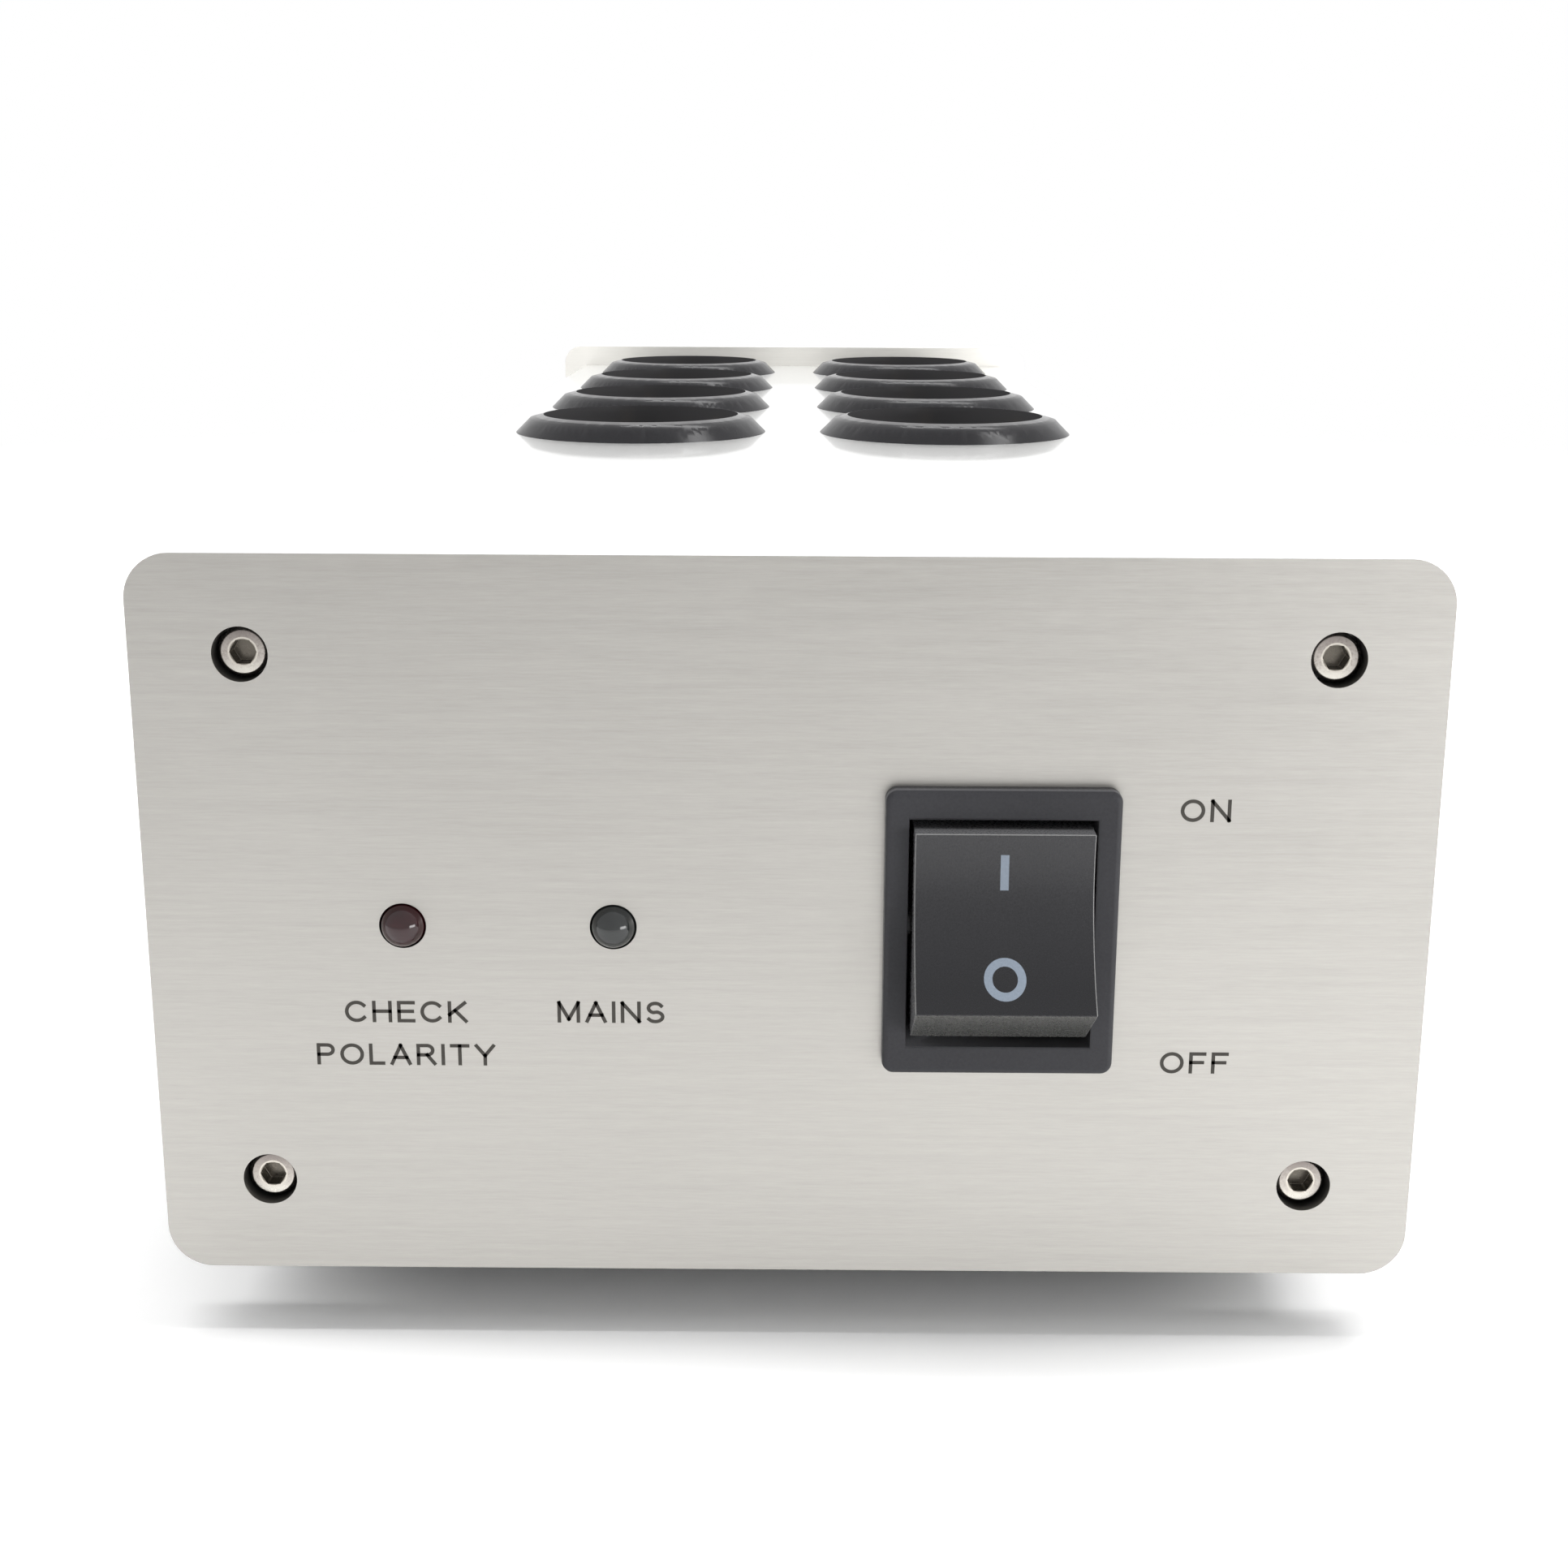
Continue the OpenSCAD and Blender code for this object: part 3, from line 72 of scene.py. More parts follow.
# The rocker's turning axis, its tilt at rest, and the size of its hollow face
ROCKER = next(joint for joint in frame["joints"] if joint["name"] == "rocker_tilt")
PIVOT = Vector(ROCKER["pos_m"])
ROCKER_REST = math.radians(-ROCKER["range_deg"][1] / 2)
ROCKER_RISE = 9.8 * MM
ROCKER_DISH = 2.3 * MM
ROCKER_FACE = 19 * MM
DISH_R = ((ROCKER_FACE / 2) ** 2 + ROCKER_DISH**2) / (2 * ROCKER_DISH)


def on_rocker(x, s, proud):
    """The point at x and s along the rocker's face, proud of it, in the row's frame."""
    y = ROCKER_DISH - ROCKER_RISE - DISH_R + math.sqrt(DISH_R**2 - s**2) - proud
    return PIVOT + Matrix.Rotation(ROCKER_REST, 3, "X") @ Vector((x, y, s))


ROCKER_TOP = on_rocker(0, ROCKER_FACE / 2, 0).z
ARRIS_DEPTH = 0.35 * MM

# Camera, fitted to the photograph: lengths in its pixels, the sensor's width in millimetres,
# turns in degrees, and a place counted from the middle of the panel's lower front edge
PHOTO = 1932
FOCAL = 2415.57
CENTRE_ROW = 850
SENSOR = 36
CAMERA_PITCH = 12.958
CAMERA_ROLL = 0.252
CAMERA_YAW = 0.306
CAMERA_FROM_EDGE = Vector((0.604, -202.53, 114.271)) * MM
NEAREST_SEEN = 1 * MM
FARTHEST_SEEN = 50


def make_camera():
    """The photograph's own view of the part."""
    data = bpy.data.cameras.new("photo_camera")
    camera = bpy.data.objects.new("photo_camera", data)
    scene.collection.objects.link(camera)
    to_view = Matrix(((1, 0, 0), (0, 0, -1), (0, 1, 0)))
    turn = (
        Matrix.Rotation(math.radians(CAMERA_ROLL), 3, "Z")
        @ Matrix.Rotation(math.radians(CAMERA_PITCH), 3, "X")
        @ Matrix.Rotation(math.radians(CAMERA_YAW), 3, "Y")
        @ to_view
    )
    right, down, forward = turn
    place = CAMERA_FROM_EDGE + Vector((0, FACE_Y, PANEL_LOW.z))
    rows = Matrix((right, -down, -forward)).transposed()
    camera.matrix_world = Matrix.Translation(place) @ rows.to_4x4()
    data.sensor_width = SENSOR
    data.lens = FOCAL / PHOTO * SENSOR
    data.shift_y = (CENTRE_ROW - PHOTO / 2) / PHOTO
    data.clip_start = NEAREST_SEEN
    data.clip_end = FARTHEST_SEEN
    scene.camera = camera


make_camera()


# Materials. Nearly all of a noise lies between NOISE_LOW and NOISE_HIGH
NOISE_LOW = 0.3
NOISE_HIGH = 0.7

# Sockets that go by number, because other sockets of the node have the same names
MIX_FIRST, MIX_SECOND, MIX_RESULT = 6, 7, 2
SHADER_FIRST, SHADER_SECOND = 1, 2


def math_node(tree, operation, first, second=None):
    """Adds a math node, fed by sockets or plain numbers, and gives its output."""
    node = tree.nodes.new("ShaderNodeMath")
    node.operation = operation
    for place, value in enumerate((first, second)):
        if isinstance(value, (int, float)):
            node.inputs[place].default_value = value
        elif value:
            tree.links.new(value, node.inputs[place])
    return node.outputs["Value"]


class Look:
    """A Principled material with the node chains that the part's finishes share.

    roughness is its plain value, under what the nodes say.
    """

    def __init__(self, name, roughness=0.5, **sockets):
        self.material = bpy.data.materials.new(name)
        self.material.use_nodes = True
        self.tree = self.material.node_tree
        self.nodes = self.tree.nodes
        self.links = self.tree.links
        self.shader = self.nodes["Principled BSDF"]
        self.shader.inputs["Roughness"].default_value = roughness
        for socket, value in sockets.items():
            self.shader.inputs[socket.replace("_", " ")].default_value = value

    def add(self, kind, **values):
        """A new node with its settings."""
        node = self.nodes.new(kind)
        for key, value in values.items():
            setattr(node, key, value)
        return node

    def noise(self, per_metre, detail=3.0, roughness=0.55):
        """Noise in the object's own coordinates, per_metre cells along each axis."""
        place = self.add("ShaderNodeTexCoord")
        scale = self.add("ShaderNodeMapping")
        scale.inputs["Scale"].default_value = per_metre
        noise = self.add("ShaderNodeTexNoise")
        noise.inputs["Scale"].default_value = 1.0
        noise.inputs["Detail"].default_value = detail
        noise.inputs["Roughness"].default_value = roughness
        self.links.new(place.outputs["Object"], scale.inputs["Vector"])
        self.links.new(scale.outputs["Vector"], noise.inputs["Vector"])
        return noise.outputs["Fac"]

    def mixed(self, first, second, share):
        """Two values mixed, share being the second one's."""
        node = self.add("ShaderNodeMix", data_type="FLOAT")
        node.inputs["Factor"].default_value = share
        self.links.new(first, node.inputs["A"])
        self.links.new(second, node.inputs["B"])
        return node.outputs["Result"]

    def colours(self, fac, dark, light, low=NOISE_LOW, high=NOISE_HIGH):
        """The base colour: dark where the value is low and light where it is high."""
        ramp = self.add("ShaderNodeValToRGB")
        ramp.color_ramp.elements[0].position = low
        ramp.color_ramp.elements[0].color = (*dark, 1)
        ramp.color_ramp.elements[1].position = high
        ramp.color_ramp.elements[1].color = (*light, 1)
        self.links.new(fac, ramp.inputs["Fac"])
        self.links.new(ramp.outputs["Color"], self.shader.inputs["Base Color"])

    def maths(self, operation, first, second=None):
        """A math node in this material."""
        return math_node(self.tree, operation, first, second)

    def coordinate(self, kind, axis):
        """One axis of a kind of coordinate."""
        place = self.add("ShaderNodeTexCoord")
        split = self.add("ShaderNodeSeparateXYZ")
        self.links.new(place.outputs[kind], split.inputs["Vector"])
        return split.outputs[axis]

    def at(self, axis):
        """The place along an axis of the frame, at rest."""
        return self.coordinate("Object", axis)

    def facing(self, axis):
        """How far the surface faces along an axis of the frame, minus one to one."""
        return self.coordinate("Normal", axis)

    def facing_either_way(self, axis):
        """The same without its sign: one on a face square to the axis, zero along it."""
        return self.maths("ABSOLUTE", self.facing(axis))

    def across_and_up(self):
        """The distance to the side of the panel's middle, and the height over it."""
        up = self.maths("SUBTRACT", self.at("Z"), PANEL_MID_Z)
        return self.maths("ABSOLUTE", self.at("X")), up

    def over(self, colour, share, blend="MIX"):
        """Lays a colour over the base colour where share is one, or blends it in as named."""
        base = self.shader.inputs["Base Color"]
        mix = self.add("ShaderNodeMix", data_type="RGBA", blend_type=blend)
        self.links.new(share, mix.inputs["Factor"])
        self.links.new(base.links[0].from_socket, mix.inputs[MIX_FIRST])
        mix.inputs[MIX_SECOND].default_value = (*colour, 1)
        self.links.new(mix.outputs[MIX_RESULT], base)

    def ramped(self, value, none, full):
        """One where the value is past full, and zero where it is short of none."""
        share = self.add("ShaderNodeMapRange")
        share.inputs["From Min"].default_value = none
        share.inputs["From Max"].default_value = full
        self.links.new(value, share.inputs["Value"])
        return share.outputs["Result"]

    def roughnesses(self, fac, low, high):
        """Roughness from low to high, as the value goes."""
        spread = self.add("ShaderNodeMapRange")
        spread.inputs["From Min"].default_value = NOISE_LOW
        spread.inputs["From Max"].default_value = NOISE_HIGH
        spread.inputs["To Min"].default_value = low
        spread.inputs["To Max"].default_value = high
        self.links.new(fac, spread.inputs["Value"])
        self.links.new(spread.outputs["Result"], self.shader.inputs["Roughness"])

    def bump(self, fac, depth, strength):
        """Relief as deep as depth, from the value."""
        node = self.add("ShaderNodeBump")
        node.inputs["Distance"].default_value = depth
        node.inputs["Strength"].default_value = strength
        self.links.new(fac, node.inputs["Height"])
        self.links.new(node.outputs["Normal"], self.shader.inputs["Normal"])


def shade(colour, factor):
    """A colour made lighter or darker."""
    return tuple(min(1.0, c * factor) for c in colour)


def brushed_panel(name, dark, light, edge, rear_tone=1.0):
    """Aluminium brushed across its width, with painted shade on its rounded arrises and in its bores, and a
    painted highlight on its outer edges.

    rear_tone multiplies the colour of a face that looks to the rear, as painted shade.
    """
    look = Look(name, 0.42, Metallic=1.0)
    fine = look.noise((260, 260, 5200), detail=4.0, roughness=0.7)
    coarse = look.noise((45, 45, 1500), detail=3.0)
    broad = look.noise((14, 14, 22), detail=2.0)
    streaks = look.mixed(fine, coarse, 0.42)
    look.colours(look.mixed(streaks, broad, 0.25), dark, light)
    # Painted shade on faces that look to the rear
    look.over((rear_tone,) * 3, look.ramped(look.facing("Y"), 0.4, 0.8), "MULTIPLY")
    across, up = look.across_and_up()
    outer = look.maths(
        "MAXIMUM",
        look.maths("GREATER_THAN", across, EDGE_X),
        look.maths("GREATER_THAN", look.maths("ABSOLUTE", up), EDGE_Z),
    )
    facing = look.facing_either_way("Y")
    # Painted shade on the rounded arrises
    look.over(shade(dark, 0.72), look.ramped(facing, 0.97, 0.80))
    # Painted shade on faces square to the front, the walls of bores and holes; the outer ones get a painted
    # highlight below
    turned = look.ramped(facing, 0.45, 0.10)
    look.over(shade(dark, 0.45), turned)
    # Painted highlight on the panel's own outer edges, as if lit from above
    look.over(edge, look.maths("MULTIPLY", turned, outer))
    look.roughnesses(streaks, 0.36, 0.50)
    look.bump(streaks, 0.012 * MM, 0.7)
    return look.material


def screw_steel():
    """Cap screws: turned heads with painted shade above and painted light below, painted shade on the rims and in
    the sockets, and a painted highlight round each socket.
    """
    look = Look("screw_steel", 0.3, Metallic=1.0)
    grain = look.noise((3200, 3200, 3200), detail=4.0)
    look.colours(grain, (0.30, 0.275, 0.25), (0.44, 0.41, 0.38))
    across, up = look.across_and_up()
    side = look.maths("SUBTRACT", across, SCREW_X)
    level = look.maths("SUBTRACT", look.maths("ABSOLUTE", up), SCREW_Z)
    rise = look.maths("MULTIPLY", level, look.maths("SIGN", up))
    squares = [look.maths("MULTIPLY", length, length) for length in (side, level)]
    radius = look.maths("SQRT", look.maths("ADD", *squares))
    # Painted shade toward the top of each head, under the counterbore's edge
    look.over((0.17, 0.15, 0.14), look.ramped(rise, -0.3 * MM, 2.4 * MM))
    # Painted light toward the bottom of each head
    look.over((0.66, 0.64, 0.58), look.ramped(rise, -0.6 * MM, -2.6 * MM))
    # Rings from the rim inward: painted shade on the rounded rim, a painted highlight on the socket's chamfer, and
    # painted shade in the socket
    for colour, none_share, full_share in (
        ((0.12, 0.114, 0.108), 0.85, 0.90),
        ((0.50, 0.47, 0.42), 0.60, 0.57),
        ((0.115, 0.104, 0.088), 0.54, 0.49),
    ):
        ring = look.ramped(radius, none_share * SCREW_HEAD_R, full_share * SCREW_HEAD_R)
        look.over(colour, ring)
    look.roughnesses(grain, 0.24, 0.36)
    look.bump(grain, 0.006 * MM, 0.5)
    return look.material


def anodised():
    """Satin anodised aluminium under a thin clear layer, with painted shade on its sides and underside."""
    look = Look(
        "anodised", 0.42, Metallic=1.0, Coat_Weight=0.8, Coat_Roughness=0.06, Coat_IOR=1.5
    )
    grain = look.noise((2600, 900, 2600), detail=3.0)
    broad = look.noise((9, 5, 9), detail=2.0)
    look.colours(look.mixed(grain, broad, 0.35), (0.93, 0.93, 0.915), (0.99, 0.99, 0.98))
    # Painted shade on the upright sides
    upright = look.ramped(look.facing_either_way("Z"), 0.7, 0.3)
    look.over((0.5, 0.5, 0.5), upright, "MULTIPLY")
    # Painted shade on the underside
    look.over((0.16, 0.16, 0.155), look.ramped(look.facing("Z"), -0.3, -0.8))
    look.roughnesses(grain, 0.37, 0.47)
    look.bump(grain, 0.004 * MM, 0.35)
    return look.material


def turned_metal(name, colour, low, high):
    """Plain small metal parts with a fine grain, slight staining and roughness low to high."""
    look = Look(name, (low + high) / 2, Metallic=1.0)
    grain = look.noise((3200, 3200, 3200), detail=4.0)
    stain = look.noise((180, 180, 180), detail=3.0)
    look.colours(look.mixed(grain, stain, 0.5), shade(colour, 0.82), shade(colour, 1.08))
    look.roughnesses(grain, low, high)
    look.bump(grain, 0.006 * MM, 0.5)
    return look.material


def moulding(name, colour, low, high, depth=0.012, grain_size=0.35, **sockets):
    """The look of moulded plastic with a spark-eroded grain.

    Its roughness goes from low to high, and the grain's depth and size are in millimetres.
    """
    look = Look(name, (low + high) / 2, **sockets)
    cells = 1 / (grain_size * MM)
    grain = look.noise((cells,) * 3, detail=2.0)
    cloud = look.noise((60, 60, 60), detail=2.0)
    look.colours(look.mixed(grain, cloud, 0.5), shade(colour, 0.86), shade(colour, 1.14))
    look.roughnesses(grain, low, high)
    look.bump(grain, depth * MM, 0.6)
    return look


def moulded(*values, **sockets):
    """A plain moulding's material."""
    return moulding(*values, **sockets).material


def outlet_moulding():
    """Glossy black plastic, with painted light on its upright walls and a painted highlight on the narrow land
    round the recess.
    """
    look = moulding(
        "outlet_moulding", (0.020, 0.0195, 0.022), 0.17, 0.25, 0.002, 0.3, Specular_IOR_Level=0.2
    )
    # Painted light on the upright walls, the recess's among them
    look.over((0.12, 0.118, 0.122), look.ramped(look.facing_either_way("Z"), 0.4, 0.1))
    # Painted highlight on the flat land round the recess
    high = look.maths("GREATER_THAN", look.at("Z"), OUTLET_TOP - LAND_DEPTH)
    land = look.maths("MULTIPLY", high, look.ramped(look.facing("Z"), 0.8, 0.95))
    look.over((0.15, 0.147, 0.15), land)
    return look.material


def switch_moulding():
    """Satin nylon, with painted light on the walls that run in from the front."""
    look = moulding(
        "switch_nylon", (0.050, 0.050, 0.055), 0.36, 0.5, 0.012, 0.28, Specular_IOR_Level=0.15
    )
    # Painted light on the walls that run in from the front, in the well round the rocker
    look.over((0.14, 0.14, 0.15), look.ramped(look.facing_either_way("Y"), 0.4, 0.1))
    return look.material


def rocker_moulding():
    """Rocker nylon, with painted shade where the face turns up, painted light on its sides and lower end, and
    painted highlights along its arrises.
    """
    look = moulding(
        "rocker_nylon", (0.024, 0.024, 0.027), 0.24, 0.32, 0.002, 0.28, Specular_IOR_Level=0.4
    )
    across = look.facing_either_way("X")
    forward = look.facing_either_way("Y")
    up = look.facing("Z")
    # Painted shade where the face turns up toward the light
    look.over((0.009, 0.009, 0.011), look.ramped(up, 0.1, 0.6))
    # Painted light on the sides and ends, in the gap round the rocker
    look.over((0.13, 0.13, 0.135), look.ramped(forward, 0.4, 0.15))
    # Painted reflection of the bright floor on the lower end
    look.over((0.085, 0.085, 0.082), look.ramped(up, -0.5, -0.75))
    # Painted highlight along the arrises at the top and sides of the face
    high = look.maths("GREATER_THAN", look.at("Z"), ROCKER_TOP - ARRIS_DEPTH)
    top = look.maths("MULTIPLY", high, look.ramped(up, 0.1, 0.3))
    turned = look.maths("MAXIMUM", look.ramped(across, 0.2, 0.4), top)
    arris = look.maths("MULTIPLY", turned, look.ramped(forward, 0.2, 0.4))
    look.over((0.24, 0.24, 0.24), arris)
    return look.material


def lens(name, colour):
    """Coloured epoxy of an unlit lamp: dark, glossy and slightly clear."""
    look = Look(name, 0.08, IOR=1.5, Transmission_Weight=0.35)
    cloud = look.noise((500, 500, 500), detail=2.0)
    look.colours(cloud, shade(colour, 0.8), shade(colour, 1.2))
    look.roughnesses(cloud, 0.06, 0.14)
    return look.material


def circuit_board():
    """Green board with the weave of its glass cloth."""
    look = Look("circuit_board", 0.4)
    weave = look.noise((1500, 1500, 1500), detail=2.0)
    look.colours(weave, (0.022, 0.085, 0.03), (0.045, 0.15, 0.055))
    look.roughnesses(weave, 0.33, 0.5)
    look.bump(weave, 0.01 * MM, 0.5)
    return look.material


def earth_sheath():
    """Green sheath with a yellow stripe along one side."""
    look = Look("earth_sheath", 0.42)
    stripe = look.noise((700, 12, 700), detail=0.0)
    look.colours(stripe, (0.10, 0.30, 0.05), (0.75, 0.62, 0.06), 0.49, 0.51)
    grain = look.noise((2200, 2200, 2200), detail=2.0)
    look.roughnesses(grain, 0.35, 0.5)
    look.bump(grain, 0.008 * MM, 0.5)
    return look.material


LOOKS = {
    # Its last colour is the painted highlight on the panel's outer edges
    "panel_metal": brushed_panel(
        "brushed_panel", (0.324, 0.314, 0.296), (0.421, 0.409, 0.386), (0.97, 0.97, 0.96)
    ),
    "case_metal": anodised(),
    "screw_metal": screw_steel(),
    "zinc": turned_metal("zinc_plate", (0.62, 0.64, 0.67), 0.25, 0.42),
    "foot_rubber": moulded("foot_rubber", (0.022, 0.022, 0.023), 0.6, 0.8, 0.03, 0.5),
    "outlet_plastic": outlet_moulding(),
    "base_plastic": moulded("terminal_moulding", (0.62, 0.58, 0.47), 0.5, 0.65, 0.02, 0.4),
    "contact_brass": turned_metal("contact_brass", (0.78, 0.55, 0.24), 0.22, 0.38),
    "busbar_copper": turned_metal("busbar_copper", (0.80, 0.40, 0.25), 0.28, 0.45),
    "switch_plastic": switch_moulding(),
    "spring_steel": turned_metal("spring_steel", (0.55, 0.56, 0.58), 0.25, 0.4),
    "plunger_plastic": moulded("plunger_nylon", (0.66, 0.63, 0.54), 0.35, 0.5),
    "contact_copper": turned_metal("contact_alloy", (0.74, 0.60, 0.42), 0.25, 0.4),
    "lamp_red": lens("red_lens", (0.045, 0.007, 0.010)),
    "lamp_dark": lens("dark_lens", (0.040, 0.044, 0.044)),
    "board_green": circuit_board(),
    "spacer_nylon": moulded("spacer_nylon", (0.74, 0.72, 0.66), 0.4, 0.55),
    "inlet_plastic": moulded("inlet_moulding", (0.02, 0.02, 0.021), 0.42, 0.58, 0.02, 0.35),
    "pin_metal": turned_metal("nickel_pins", (0.70, 0.68, 0.63), 0.15, 0.28),
    "breaker_plastic": moulded(
        "breaker_moulding", (0.020, 0.020, 0.021), 0.38, 0.55, 0.01, 0.4
    ),
    "button_red": moulded("button_moulding", (0.42, 0.028, 0.02), 0.3, 0.42),
    "ferrite": moulded("coated_ferrite", (0.035, 0.075, 0.045), 0.35, 0.5),
    "winding_copper": turned_metal("enamelled_copper", (0.62, 0.24, 0.12), 0.2, 0.32),
    "capacitor_case": moulded("capacitor_case", (0.72, 0.45, 0.05), 0.35, 0.5),
    "varistor_blue": moulded("varistor_coat", (0.025, 0.12, 0.32), 0.3, 0.42),
    "live_sheath": moulded("live_sheath", (0.13, 0.05, 0.022), 0.38, 0.5),
    "neutral_sheath": moulded("neutral_sheath", (0.02, 0.08, 0.34), 0.38, 0.5),
    "earth_sheath": earth_sheath(),
}
SLOT_OF = {row["node"]: row["material_slot"] for row in frame["record"]["subparts"]}
BODY_OF = {
    node: body for body, nodes in frame["record"]["behaviour"]["bodies"].items() for node in nodes
}


def set_look(piece, material):
    """Gives the piece one material."""
    piece.data.materials.clear()
    piece.data.materials.append(material)


for name, node in frame["nodes"].items():
    set_look(node, LOOKS[SLOT_OF[name]])


# Pieces. Edges that turn by more than SHARP are rounded, and those under FLAT are dissolved
SHARP = math.radians(32)
FLAT = math.radians(0.5)
SAME_CORNER = 0.001 * MM
EDGE_ROUND = {
    "front_panel": 0.3 * MM,
    "case_top": 0.25 * MM,
    "case_bottom": 0.25 * MM,
    "front_panel_screws": 0.12 * MM,
    "rear_panel_screws": 0.12 * MM,
    "inlet_housing": 0.35 * MM,
    "inlet_pins": 0.3 * MM,
    "breaker_nut": 0.3 * MM,
    "breaker_button": 0.3 * MM,
    "lamp_left": 0.1 * MM,
    "lamp_right": 0.1 * MM,
}
REAR_PANEL_ROUND = 0.3 * MM
ROCKER_ROUND = 0.3 * MM
FOOT_ROUND = 0.8 * MM
OUTLET_ROUND = 0.3 * MM
ROCKER_NYLON = rocker_moulding()
# The rear panel's aluminium, much paler than the front panel's as painted light, with painted shade on its rear
# face and a painted highlight on its outer edges
REAR_METAL = brushed_panel(
    "brushed_rear_panel", (0.84, 0.825, 0.78), (0.93, 0.915, 0.87), (0.97, 0.97, 0.96), 0.5
)


def new_piece(name, bm, body, slot, material=None):
    """Turns a bmesh in the row's frame into a piece that rides on a body."""
    mesh = bpy.data.meshes.new(name)
    bmesh.ops.recalc_face_normals(bm, faces=bm.faces)
    bm.to_mesh(mesh)
    bm.free()
    piece = bpy.data.objects.new(name, mesh)
    scene.collection.objects.link(piece)
    set_look(piece, material or LOOKS[slot])
    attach(piece, body)
    return piece


def soften(piece, width, segments=2, weighted=False):
    """Rounds the sharp edges and shades the piece smooth between them."""
    piece.data.polygons.foreach_set("use_smooth", [True] * len(piece.data.polygons))
    bevel = piece.modifiers.new("rounded_edges", "BEVEL")
    bevel.width = width
    bevel.segments = segments
    bevel.limit_method = "WEIGHT" if weighted else "ANGLE"
    bevel.angle_limit = SHARP
    bevel.harden_normals = True
    bevel.use_clamp_overlap = True


def clean_copy(node):
    """The node's shape as a bmesh, with its flat faces joined back from triangles."""
    source = frame["nodes"][node].data
    mesh = bpy.data.meshes.new(node + "_copy")
    mesh.from_pydata(
        [v.co[:] for v in source.vertices], [], [p.vertices[:] for p in source.polygons]
    )
    bm = bmesh.new()
    bm.from_mesh(mesh)
    bpy.data.meshes.remove(mesh)
    bmesh.ops.remove_doubles(bm, verts=bm.verts, dist=SAME_CORNER)
    bmesh.ops.dissolve_limit(bm, angle_limit=FLAT, verts=bm.verts, edges=bm.edges)
    return bm


def join_rings(bm, rings, closed):
    """Skins a row of equal rings of points, and caps its ends unless the row is closed."""
    for ring, after in zip(rings, rings[1:] + (rings[:1] if closed else [])):
        for k in range(len(ring)):
            turn = (k + 1) % len(ring)
            bm.faces.new((ring[k], ring[turn], after[turn], after[k]))
    if not closed:
        bm.faces.new(rings[0])
        bm.faces.new(rings[-1])


def finished(node, width, segments=2, weight_of=None, material=None):
    """A piece that stands for a node: the same shape with rounded edges."""
    bm = clean_copy(node)
    if weight_of:
        layer = bm.edges.layers.float.new("bevel_weight_edge")
        for edge in bm.edges:
            if edge.calc_face_angle(0) > SHARP:
                middle = (edge.verts[0].co + edge.verts[1].co) / 2
                edge[layer] = weight_of(middle)
    piece = new_piece(node + "_finished", bm, BODY_OF[node], SLOT_OF[node], material)
    soften(piece, width, segments, weighted=weight_of is not None)
    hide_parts(node)


for node, width in EDGE_ROUND.items():
    finished(node, width)
finished("rear_panel", REAR_PANEL_ROUND, material=REAR_METAL)
finished("switch_rocker", ROCKER_ROUND, 3, material=ROCKER_NYLON)
for corner in ("front_left", "front_right", "rear_left", "rear_right"):
    finished("foot_" + corner, FOOT_ROUND, 3)
for number in range(1, OUTLETS + 1):
    finished(f"outlet_{number}", OUTLET_ROUND)

BEZEL_ROUND = 0.7 * MM
BEZEL_BAND = 1.5 * MM
BEZEL_BACK = 0.5 * MM
INNER_ROUND_SHARE = 0.35


def bezel_weight(middle):
    """Full rounding on the bezel's outer edge, a little on the well's, none behind the face."""
    if middle.y > FACE_Y - BEZEL_BACK:
        return 0.0
    across = abs(middle.x - SWITCH_X) > (SWITCH_HIGH.x - SWITCH_LOW.x) / 2 - BEZEL_BAND
    up = abs(middle.z - PANEL_MID_Z) > (SWITCH_HIGH.z - SWITCH_LOW.z) / 2 - BEZEL_BAND
    return 1.0 if across or up else INNER_ROUND_SHARE


finished("switch_housing", BEZEL_ROUND, 3, bezel_weight)

# Thread: ridges round the breaker's neck, between its nut and its end
NECK_R = 5.4 * MM
THREAD_PITCH = 0.7 * MM
THREAD_RISE = 0.22 * MM
THREAD_SUNK = 0.1 * MM
THREAD_END_GAP = 0.15 * MM
THREAD_FACES = 64


def neck_thread():
    """Ridges with a saw's outline, along the neck from its nut to its end."""
    axis = sum(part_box("breaker_button"), Vector()) / 2
    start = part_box("breaker_nut")[1].y + THREAD_END_GAP
    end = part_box("breaker_body")[1].y - THREAD_END_GAP
    ridges = int((end - start) / THREAD_PITCH)
    profile = [(start, NECK_R - THREAD_SUNK), (start, NECK_R)]
    for ridge in range(ridges):
        low = start + ridge * THREAD_PITCH
        profile += [(low + THREAD_PITCH / 2, NECK_R + THREAD_RISE), (low + THREAD_PITCH, NECK_R)]
    profile.append((profile[-1][0], NECK_R - THREAD_SUNK))
    bm = bmesh.new()
    rings = [
        [
            bm.verts.new((axis.x + r * math.cos(turn), y, axis.z + r * math.sin(turn)))
            for y, r in profile
        ]
        for turn in (math.tau * k / THREAD_FACES for k in range(THREAD_FACES))
    ]
    join_rings(bm, rings, True)
    new_piece("breaker_thread", bm, BODY_OF["breaker_body"], "breaker_plastic")


neck_thread()

# Lettering: a glyph is its width and its strokes, both as shares of the letter's height
LETTER_H = 2.12 * MM
STROKE_W = 0.40 * MM
LETTER_GAP_SHARE = 0.46
LETTER_WIDTH_SHARE = 1.10
STROKE_PROUD = 0.012 * MM
STROKE_SUNK = 0.05 * MM


def arc(cx, cy, rx, ry, start, end, count=12):
    """Points along part of an ellipse, from one angle in degrees to another."""
    return [
        (
            cx + rx * math.cos(math.radians(start + (end - start) * k / count)),
            cy + ry * math.sin(math.radians(start + (end - start) * k / count)),
        )
        for k in range(count + 1)
    ]


